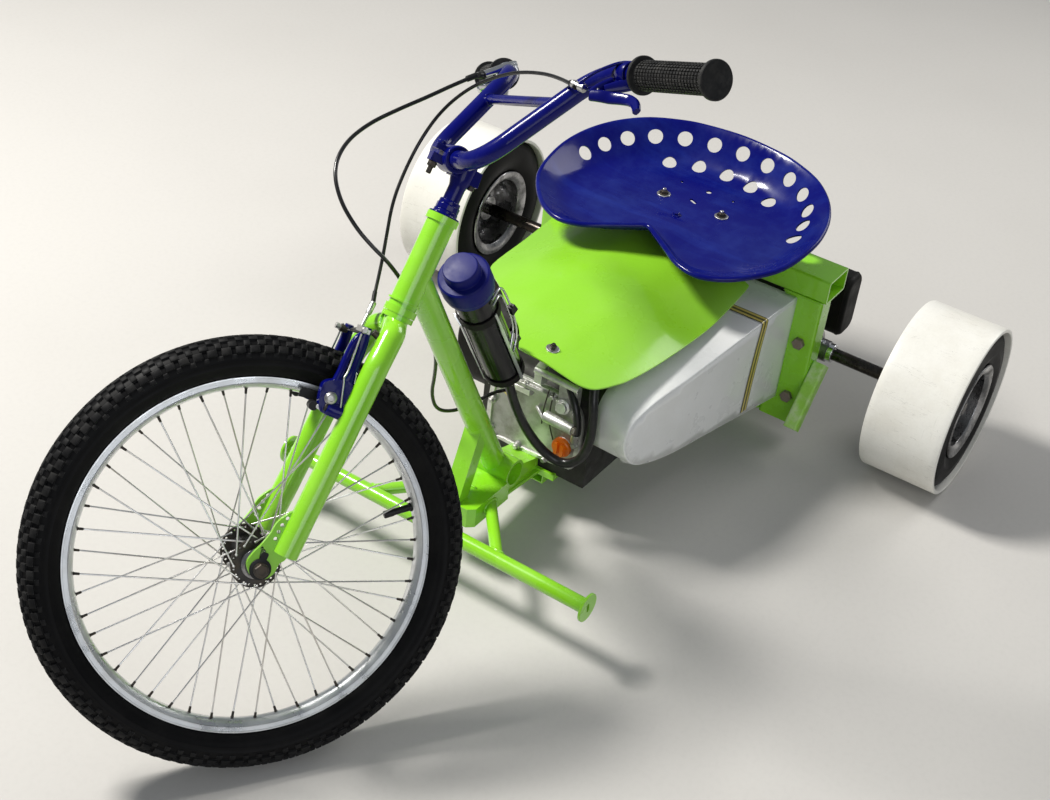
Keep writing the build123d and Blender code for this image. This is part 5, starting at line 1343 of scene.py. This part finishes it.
def chain_at(s):
    s = s % total
    if s < run:                                  # top run, from the small to the big
        t = s / run
        a = (c2[0] + r2 * cos(top1), c2[1] + r2 * sin(top1))
        b = (c1[0] + r1 * cos(top1), c1[1] + r1 * sin(top1))
        return (a[0] + (b[0] - a[0]) * t, a[1] + (b[1] - a[1]) * t)
    s -= run
    if s < r1 * arc_big:
        a = top1 + s / r1
        return (c1[0] + r1 * cos(a), c1[1] + r1 * sin(a))
    s -= r1 * arc_big
    if s < run:
        t = s / run
        a = (c1[0] + r1 * cos(bot1), c1[1] + r1 * sin(bot1))
        b = (c2[0] + r2 * cos(bot1), c2[1] + r2 * sin(bot1))
        return (a[0] + (b[0] - a[0]) * t, a[1] + (b[1] - a[1]) * t)
    s -= run
    a = bot1 + s / r2
    return (c2[0] + r2 * cos(a), c2[1] + r2 * sin(a))


chain = Mesh()
for i in range(links):
    a, b = chain_at(i * pitch), chain_at((i + 1) * pitch)
    d = hypot(b[0] - a[0], b[1] - a[1])
    th = atan2(b[1] - a[1], b[0] - a[0])
    mid = ((a[0] + b[0]) / 2, (a[1] + b[1]) / 2)
    m = axes(P(mid[0], 162, mid[1]), Vector((0, -1, 0)), Vector((cos(th), 0, sin(th))))
    outline = []
    for s in range(16):
        q = 2 * pi * s / 16
        cx = d / 2 if cos(q) > 0 else -d / 2
        outline.append((cx * 0.98 + 3.6 * cos(q), 3.6 * sin(q) * (1 if abs(cos(q)) > 0.5 else 0.86)))
    y0 = 2.0 if i % 2 else 3.0
    for hand in (1, -1):
        z0 = y0 * hand
        z1 = (y0 + 0.9) * hand
        chain.plate(m, outline, min(z0, z1), max(z0, z1))
    chain.rod(P(a[0], 158.2, a[1]), P(a[0], 165.8, a[1]), 2.0, 10)
chain.done("chain_links", "frame", dark_steel, "steel", ["drive_chain"], angle=35, weld=False)

# ------------------------------------------------------------------ engine front, foot and fins
eng = Mesh()
FX = 462.05
front = axes(P(FX, 0, 0), Vector((1, 0, 0)), Vector((0, 1, 0)))       # x left, y up, z ahead
# crankcase side cover: a rounded plate with a rim and bolts
plate_out = smooth_loop([(-66, 92), (-62, 188), (-40, 207), (20, 209), (66, 205), (86, 188), (90, 150), (88, 108), (74, 92), (20, 86), (-40, 86)], 4)
eng.plate(front, plate_out, -0.4, 5.0, (), 0)
rim_in = [(x * 0.9 + 1.2, (y - 148) * 0.9 + 148) for x, y in plate_out]
eng.plate(front, [(x * 0.996, (y - 148) * 0.996 + 148) for x, y in plate_out], 4.6, 8.0, [rim_in], 1)
for x, y in ((-58, 100), (-58, 150), (-52, 192), (-6, 203), (40, 202), (78, 186), (83, 140), (80, 102), (38, 92), (-10, 91)):
    eng.lathe(axes(front @ Vector((x, y, 4.0)), Vector((1, 0, 0))), [(0, 0), (6.0, 0), (5.4, 6.0), (0, 6.0)], 20, 0)
    eng.bolt(front @ Vector((x, y, 10.0)), Vector((1, 0, 0)), 7, 4.0, 5.2, 0, 2)
# raised web and shelf casting towards the top
eng.box(front, (-66, 196, -6), (70, 206, 13), 0, 2.0)
eng.box(front, (-66, 176, 2), (-40, 200, 16), 1, 2.5)
eng.box(front, (-30, 186, 2), (6, 199, 14), 1, 2.0)
# dipstick boss
dip = axes(P(FX, 63, 126), Vector((1, 0, 0)), Vector((0, 1, 0)))
eng.lathe(dip, [(0, 0), (15.5, 0), (13.5, 6.0), (12.6, 9.2), (9, 9.2)], 32, 1)
# tie bar and blocks under the hood's edge, panel at the left
eng.box(front, (10, 217, 6), (26, 246, 20), 1, 2.0)
eng.rod(P(484, 14, 243), P(478, 82, 236), 5.2, 18, 1)
eng.box(front, (46, 178, 3), (80, 232, 11), 0, 2.5)
eng.rod(P(470, 16, 172.5), P(486, 38, 170.5), 3.0, 14, 1)
eng.rod(P(486, 39, 177), P(488, 86, 176.5), 8.2, 24, 1, 7.4)
eng.hexagon(axes(P(488, 86, 176.5), Vector((0, 1, 0))), 11.5, 5.0, 3)
eng.lathe(axes(P(470, 60, 196), Vector((1, 0, 0.15)), Vector((0, 1, 0))), [(0, 0), (11.5, 0), (11.0, 8.0), (8.0, 9.5), (8.0, 14), (0, 14)], 28, 1)
eng.box(front, (48, 186, 6), (58, 206, 17), 1, 1.5)
# foot of the crankcase on the plate
eng.box(VM, (418, -56, 65.2), (461, 47, 84.0), 3, 4.0)
eng.bolt(P(450, -7, 84.0), Vector((0, 0, 1)), 11, 6, 8.5, 3.2, 2)
eng.bolt(P(432, -44, 84.0), Vector((0, 0, 1)), 11, 6, 8.5, 3.2, 2)
eng.box(VM, (250, -62, 65.2), (275, 52, 72.0), 3)
eng.done("engine_front_castings", "frame", [cast, cast_light, zinc, foot_cast], "alloy", bevel=0.9, angle=34)

fins = Mesh()
poly = [(300, 130), (330, 205), (196, 246), (150, 216), (172, 140)]
d0 = Vector((173 - 315, 0, 231 - 167)).normalized()
for i in range(9):
    t = 34 + i * 12.5
    c = Vector((315, 0, 167.5)) + d0 * t
    up_ = Vector((-d0.z, 0, d0.x))
    if up_.z < 0:
        up_ = -up_
    m = axes(P(c.x, 10, c.z), d0, up_)
    top_ = 39 + (1.5 if i % 2 else 0)
    fins.plate(m, rounded2(-2, 0, 2 * top_ - 6, 134, 9, 4), -1.1, 1.1)
fins.done("cylinder_fins", "frame", cast, "alloy", bevel=0.3, angle=34)

recoil = Mesh()
SH = P(350, -80.05, 174)
m = axes(P(350, -150.1, 174), Vector((0, -1, 0)), Vector((1, 0, 0)))
for j in range(18):
    a = 2 * pi * j / 18
    c, s = cos(a), sin(a)
    q = axes(P(350, 0, 174), Vector((0, -1, 0)), Vector((c, 0, s)))
    recoil.box(q, (27, -3.0, 168.0), (50, 3.0, 171.5), 0, 0.8)
recoil.lathe(m, [(0, 17), (20, 17), (22, 18.4), (22, 20.5), (19, 22.5), (0, 23)], 40, 0)
recoil.lathe(m, [(52, 17.6), (55, 17.6), (56, 19.6), (53.5, 20.4), (52, 19.6)], 64, 0, closed=True)
for j in range(3):
    a = 2 * pi * (j + 0.3) / 3
    recoil.bolt(P(350 + 73 * cos(a), -150.1, 174 + 73 * sin(a)), Vector((0, -1, 0)), 9, 5, 7, 0, 1)
recoil.bolt(P(350, -173, 174), Vector((0, -1, 0)), 8, 4, 6, 0, 1)
handle = smooth_loop([tuple(P(*p)) for p in ((418, -132, 240), (424, -134, 244), (430, -136, 248))], 4, False)
recoil.tube(handle, 2.0, 10, 2)
recoil.tube([tuple(P(*p)) for p in ((431, -121, 249), (431, -125, 249), (431, -146, 249), (431, -150, 249))], [4.0, 6.0, 6.0, 4.0], 14, 2)
recoil.done("recoil_details", "frame", [black_paint, zinc, plastic], "black_metal", bevel=0.5, angle=34)

cap = Mesh()
cap.lathe(dip, [(0, 0.2), (9.0, 0.2), (9.2, 6.0), (13.6, 6.4), (14.4, 7.2), (14.6, 12.6), (13.6, 13.8), (0, 13.8)], 44, 0)
for j in range(18):
    a = 2 * pi * j / 18
    q = axes(dip @ Vector((14.2 * cos(a), 14.2 * sin(a), 9.8)), Vector((1, 0, 0)), Vector((0, cos(a), sin(a))))
    cap.box(q, (-0.3, -1.0, -2.6), (0.9, 1.0, 2.6), 0, 0.3)
for off in (-5.0, 5.0):
    cap.plate(dip, rounded2(off, 0, 5.4, 20.0, 2.3, 4), 13.6, 18.6, (), 0)
cap.done("oil_cap_orange", "frame", orange, "cap_plastic", ["oil_cap"], bevel=0.5, angle=34)

# rods, wire loop and the small plug seen behind the bottle
wires("governor_rods", "frame", [
    [P(474, 34, 212), P(478, 33, 196), P(484, 33, 176), P(484, 34, 160)],
    [P(474, 42, 211), P(480, 42, 190), P(482, 43, 165), P(479, 52, 138)],
], 1.0, dark_steel)
wires("yellow_wire", "frame", [[P(476, -40, 178), P(486, -28, 184), P(494, -10, 180), P(496, 2, 168), P(490, 6, 156), P(480, 2, 150), P(472, -4, 150)]], 1.3, brass)
plug = Mesh()
plug.box(axes(P(498, -18, 232), Vector((0.5, 0.2, 0.8)), Vector((0, 1, 0))), (-9, -6, -8), (9, 6, 8), 0, 2.0)
plug.rod(P(494, -20, 220), P(484, -22, 200), 5, 14, 1)
plug.tube([tuple(P(*p)) for p in ((507, -12, 238), (512, -6, 232), (514, 0, 222), (510, 4, 210))], 1.4, 8, 1)
plug.done("wire_plug", "frame", [pale_plug, plastic], "black_metal", bevel=0.8, angle=34)

# ------------------------------------------------------------------ foot bar with its slotted end discs
fb = Mesh()
m = axes(P(685, 0, 88), Vector((0, 1, 0)), Vector((1, 0, 0)))
fb.lathe(m, [(8.5, -246.3), (10.5, -246.3), (10.5, 246.3), (8.5, 246.3)], 40, 0, closed=True)
for z0, z1 in ((-249.6, -246.1), (246.1, 249.6)):
    fb.plate(m, circle2(0, 0, 20, 56), z0, z1, [rounded2(0, 0, 5.2, 15.0, 2.5, 4, radians(8))], 0)
fb.done("foot_bar_tube", "frame", lime, "lime_paint", ["foot_bar"], bevel=0.5, angle=34)
fw = Mesh()
for hand in (1, -1):
    ring = [P(685 + 11.2 * cos(a), hand * 245.6, 88 + 11.2 * sin(a)) for a in np.linspace(0, 2 * pi, 25)]
    weld(fw, ring, 1.5)
fw.box(VM, (463.2, -29, 58.2), (468.6, 55, 68.0), 0, 0.4)
fw.box(VM, (444, 49.2, 58.2), (463.1, 55, 68.0), 0, 0.4)
fw.done("foot_bar_welds", "frame", lime, "lime_paint", angle=80)

# ------------------------------------------------------------------ bottle cap and cage
BL, BT = P(558, 12, 276), P(683, 12, 493)
bd = (BT - BL).normalized()
bm_ = axes(BL, bd, Vector((0, 1, 0)))
bc = Mesh()
bc.lathe(bm_, [(0, 200.2), (30.4, 200.2), (31.6, 201.4), (32.0, 206), (32.6, 207.4), (33.0, 210), (33.0, 229.5), (32.2, 232.2), (30.0, 233.8), (27, 234.2), (23.2, 234.4),
               (22.6, 235.2), (22.4, 246.4), (21.6, 249.2), (20.6, 250.0), (20.0, 250.1), (0, 250.1)], 80, 0)
for j in range(36):
    a = 2 * pi * j / 36
    q = axes(bm_ @ Vector((32.7 * cos(a), 32.7 * sin(a), 218)), bd, (bm_.to_3x3() @ Vector((cos(a), sin(a), 0))))
    bc.box(q, (-0.4, -1.0, -7.5), (0.35, 1.0, 7.5), 0, 0.25)
bc.done("bottle_cap_stepped", "frame", blue_cap, "blue_paint", ["bottle_cap"], angle=28)
cg = Mesh()
cg.lathe(bm_, [(26.1, 150), (27.7, 150), (27.7, 162), (26.1, 162)], 64, 1, closed=True)
cg.lathe(bm_, [(26.1, 6), (27.7, 6), (27.7, 18), (26.1, 18)], 64, 1, closed=True)
for w0 in (-27.3, 27.3):
    sgn = 1 if w0 > 0 else -1
    pts = [(w0 + sgn * 0.3, z) for z in np.linspace(4, 128, 12)] + [(w0 + sgn * 0.9, 140), (w0 + sgn * 0.7, 152), (w0 + sgn * 0.2, 163)]
    vs, fs = [], []
    for x, z in pts:
        for t_, y in ((0.0, -2.4), (0.0, 2.4), (1.6, 2.4), (1.6, -2.4)):
            yy = y * (1.0 if 12 < z < 140 else 0.75)
            vs.append((x + sgn * t_ * 0.9, yy, z))
    for i in range(len(pts) - 1):
        for j in range(4):
            fs.append((i * 4 + j, i * 4 + (j + 1) % 4, (i + 1) * 4 + (j + 1) % 4, (i + 1) * 4 + j))
    fs += [(0, 1, 2, 3), tuple(range(4 * (len(pts) - 1), 4 * len(pts)))]
    cg.put(bm_, vs, fs, 0)
# cranked strap in front and the foot that turns under the bottle
strap = [(-19.5, -19.5, 158), (-12.0, -24.0, 149), (-10.4, -24.6, 140), (-10.8, -24.4, 116), (-13.2, -23.2, 85), (-15.6, -21.7, 55), (-16.6, -21.0, 8), (-13, -16, -4), (-4, -6, -6)]
vs, fs = [], []
for i, (x, y, z) in enumerate(strap):
    rad_ = Vector((x, y, 0)).normalized()
    tan_ = Vector((-rad_.y, rad_.x, 0))
    o_ = Vector((x, y, z)) + rad_ * 1.0
    for a_, b_ in ((-2.4, 0), (2.4, 0), (2.4, 1.6), (-2.4, 1.6)):
        vs.append(o_ + tan_ * a_ + rad_ * b_)
for i in range(len(strap) - 1):
    for j in range(4):
        fs.append((i * 4 + j, i * 4 + (j + 1) % 4, (i + 1) * 4 + (j + 1) % 4, (i + 1) * 4 + j))
fs += [(0, 1, 2, 3), tuple(range(4 * (len(strap) - 1), 4 * len(strap)))]
cg.put(bm_, vs, fs, 0)
cg.done("bottle_cage_straps", "frame", [alloy, black_paint], "alloy", ["bottle_cage"], bevel=0.35, angle=34)
clip = Mesh()
clip.box(axes(bm_ @ Vector((24.1, 30.2, 131)), bd, Vector((0, 1, 0))), (-5.5, -5.5, -6), (5.5, 5.5, 6), 0, 1.5)
# blocks that carry the cage on the down tube
clip.box(bm_, (-19.5, 23.0, 7), (-4.5, 50.0, 17), 0, 0.6)
clip.box(bm_, (-19.5, 23.0, 151), (-4.5, 42.0, 161), 0, 0.6)
clip.box(axes(BL, bd, Vector((0, 1, 0))), (-20, -17, -9.0), (8, 10, -0.3), 0, 1.5)
clip.done("cage_clips", "frame", plastic, "black_metal", bevel=0.6, angle=34)
wires("cage_wire_loops", "frame", [
    [bm_ @ Vector(p) for p in ((28.6, 3, 192), (27, 16, 192), (24, 28, 184), (24.1, 30.3, 160), (24.1, 30.2, 122), (23.5, 28, 100), (24, 24, 84), (26, 14, 72), (28.6, 3, 70))],
    [bm_ @ Vector(p) for p in ((28.6, 1, 182), (27, 12, 182), (23, 23, 174), (22.5, 25.5, 152), (22.5, 25.5, 124), (22.5, 24, 104), (24, 18, 90), (28.6, 1, 82))],
], 1.5, chrome)

# ------------------------------------------------------------------ cables and hose
def cable(name, route, r, mat, node=None, body=None):
    cu = bpy.data.curves.new(name, "CURVE")
    cu.dimensions = "3D"
    cu.bevel_depth = r * MM
    cu.bevel_resolution = 4
    cu.resolution_u = 12
    cu.use_fill_caps = True
    sp = cu.splines.new("NURBS")
    sp.points.add(len(route) - 1)
    for q, p in zip(sp.points, route):
        q.co = (*p, 1)
    sp.order_u = 3
    sp.use_endpoint_u = True
    cu.materials.append(mat)
    o = bpy.data.objects.new(name, cu)
    scene.collection.objects.link(o)
    if body:
        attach(o, body)
    if node:
        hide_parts(*node)
    return o


BRAKE_ROUTE = ((-20, 162, 895.5), (-14, 110, 906), (6, 58, 901), (17, 12, 889), (29, -26, 868), (40, -50, 834),
               (45, -61, 794), (47, -60, 750), (46, -54, 712), (38, -46, 674), (30, -37, 634), (27, -20, 594))
UPPER_ROUTE = ((-14, -156, 905), (9, -150, 881), (34, -141, 853), (64, -129, 822), (95, -114, 788), (117, -94, 753),
               (122, -72, 719), (106, -52, 689), (77, -40, 667), (50, -35, 655), (29, -33, 648))
LOWER_ROUTE = ((741, -29, 483), (727, -27.5, 458), (706, -26, 424), (681, -25, 380), (660, -29, 335), (644, -40, 292),
               (634, -51, 250), (618, -51, 214), (588, -38, 204), (556, -26, 210), (524, -18, 213), (497, -9, 205))
HOSE_ROUTE = ((555.5, 12, 271.5), (546, 12, 252), (535, 17, 214), (520, 28, 172), (504, 48, 134), (492, 77, 114),
              (487, 104, 132), (484, 113, 168), (479, 110, 206), (470, 100, 238), (452, 92, 256))
cable("brake_cable_line", [S(*p) for p in BRAKE_ROUTE], 2.1, cable_mat, ["brake_cable"], "steering")
full = cable("throttle_curve", [S(*p) for p in UPPER_ROUTE] + [P(*p) for p in LOWER_ROUTE], 2.5, cable_mat)
dg = bpy.context.evaluated_depsgraph_get()
tm = bpy.data.meshes.new_from_object(full.evaluated_get(dg))
tm.name = "throttle_cable_line"
throttle = bpy.data.objects.new("throttle_cable_line", tm)
scene.collection.objects.link(throttle)
bpy.data.objects.remove(full)
for poly in tm.polygons:
    poly.use_smooth = True
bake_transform(throttle)
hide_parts("throttle_cable_upper", "throttle_cable_lower")
cable("fuel_hose_line", [P(*p) for p in HOSE_ROUTE], 6.75, hose_mat, ["fuel_hose"], "frame")
cable("breather_hose", [P(*p) for p in ((468, 62, 226), (476, 76, 214), (481, 86, 196), (482, 90, 176), (480, 88, 160), (474, 84, 150))], 5.6, hose_mat, None, "frame")

fer = Mesh()
# ferrules and clamps
fer.rod(S(-19.5, 160, 895.8), S(-17.5, 145, 899.6), 3.4, 16, 0)
fer.rod(S(26.6, -19.4, 594.5), S(28.4, -27, 610), 2.7, 16, 0)
fer.rod(S(-14, -156, 905), S(-4, -153.5, 895), 3.9, 16, 0)
fer.done("cable_ferrules", "steering", [plastic, zinc], "black_metal", bevel=0.4, angle=30)
ff = Mesh()
d = (P(546, 12, 252) - P(555.5, 12, 271.5)).normalized()
ff.lathe(axes(P(554, 12, 268.6), d), [(6.8, 0), (8.4, 0), (8.6, 0.8), (8.6, 6.2), (8.4, 7), (6.8, 7)], 28, 0, closed=True)
ff.box(axes(P(551.5, 12, 264), d, Vector((0.4, 1, 0))), (7.5, -3.4, -3.2), (14.5, 3.4, 3.2), 0, 0.6)
ff.lathe(axes(BL - bd * 0.4 * MM, -bd), [(0, 0), (9.5, 0), (9.5, 3.2), (6.2, 4.4), (5.6, 9.5), (0, 9.5)], 24, 1)
ff.rod(P(481.6, 88.6, 168), P(475, 84, 150), 6.4, 20, 0)
ff.rod(P(497, -9, 205), P(508, -13, 209), 3.6, 14, 1)
ff.done("hose_clamps", "frame", [zinc, plastic], "steel", bevel=0.4, angle=30)

# ------------------------------------------------------------------ muffler details
mf = Mesh()
seam = rounded2(0, 0, 57.4, 107.4, 20.5, 6)
mf.plate(axes(P(-105, 226, 163), Vector((0, 1, 0)), Vector((1, 0, 0))), seam, -1.6, 1.6, [rounded2(0, 0, 55.0, 105.0, 19.3, 6)], 0)
mf.plate(axes(P(-105, 52, 163), Vector((0, 1, 0)), Vector((1, 0, 0))), seam, -1.6, 1.6, [rounded2(0, 0, 55.0, 105.0, 19.3, 6)], 0)
mf.lathe(axes(P(-105, 43.9, 132), Vector((0, -1, 0)), Vector((1, 0, 0))), [(8.2, 0), (10, 0), (10, 16), (8.2, 16)], 28, 1, closed=True)
mf.done("muffler_seams", "frame", [black_paint, dark_steel], "black_metal", bevel=0.4, angle=34)

# ------------------------------------------------------------------ floor, light, camera
floor = bpy.data.meshes.new("floor")
floor.from_pydata([(-9, -9, 0), (9, -9, 0), (9, 9, 0), (-9, 9, 0)], [], [(0, 1, 2, 3)])
fo = bpy.data.objects.new("floor", floor)
scene.collection.objects.link(fo)
fmat = material("floor_plain", (0.56, 0.545, 0.52), 0.78, spec=0.15, tint=(0.52, 0.505, 0.48), tint_amount=0.5, tint_scale=1.2, grain=0.05, grain_scale=120, bump=0.10, bump_scale=240)
floor.materials.append(fmat)

world = bpy.data.worlds.new("world")
scene.world = world
world.use_nodes = True
world.node_tree.nodes["Background"].inputs[0].default_value = (0.88, 0.94, 1.0, 1)
world.node_tree.nodes["Background"].inputs[1].default_value = 0.24


def area(name, loc, target, size, power, colour=(1, 1, 1), size_y=None):
    li = bpy.data.lights.new(name, "AREA")
    li.energy, li.size, li.color = power, size, colour
    if size_y:
        li.shape, li.size_y = "RECTANGLE", size_y
    o = bpy.data.objects.new(name, li)
    scene.collection.objects.link(o)
    o.location = loc
    o.rotation_mode = "QUATERNION"
    o.rotation_quaternion = (Vector(target) - Vector(loc)).to_track_quat("-Z", "Y")
    return o


area("key", (0.7, -2.1, 3.1), (0.05, 0, 0.25), 0.8, 190, (1.0, 0.975, 0.93))
area("fill", (2.2, 2.4, 1.8), (0, 0, 0.3), 2.0, 26, (0.95, 0.97, 1.0))
area("back", (-2.4, 0.9, 1.6), (0, 0, 0.3), 1.2, 20, (1.0, 0.98, 0.95))

CAM = (2011.828205260362, 912.130911003095, 1461.779297918741)
YAW, PITCH, ROLL, FOCAL = -2.6048226446406533, -0.6227551843230115, 0.11239901932362394, 1579.641909387313
d = Vector((cos(PITCH) * cos(YAW), cos(PITCH) * sin(YAW), sin(PITCH)))
r = d.cross(Vector((0, 0, 1))).normalized()
u = r.cross(d)
r2_ = r * cos(ROLL) + u * sin(ROLL)
u2_ = -r * sin(ROLL) + u * cos(ROLL)
cd = bpy.data.cameras.new("camera")
cam = bpy.data.objects.new("camera", cd)
scene.collection.objects.link(cam)
cm = Matrix.Identity(4)
loc = P(*CAM)
for j in range(3):
    cm[j][0], cm[j][1], cm[j][2], cm[j][3] = r2_[j], u2_[j], -d[j], loc[j]
cam.matrix_world = cm
cd.sensor_width = 36.0
cd.sensor_fit = "HORIZONTAL"
cd.lens = FOCAL / 1050 * 36.0
cd.clip_start, cd.clip_end = 0.05, 60
scene.camera = cam
scene.view_settings.view_transform = "Standard"
scene.view_settings.look = "None"
scene.view_settings.exposure = 0.0
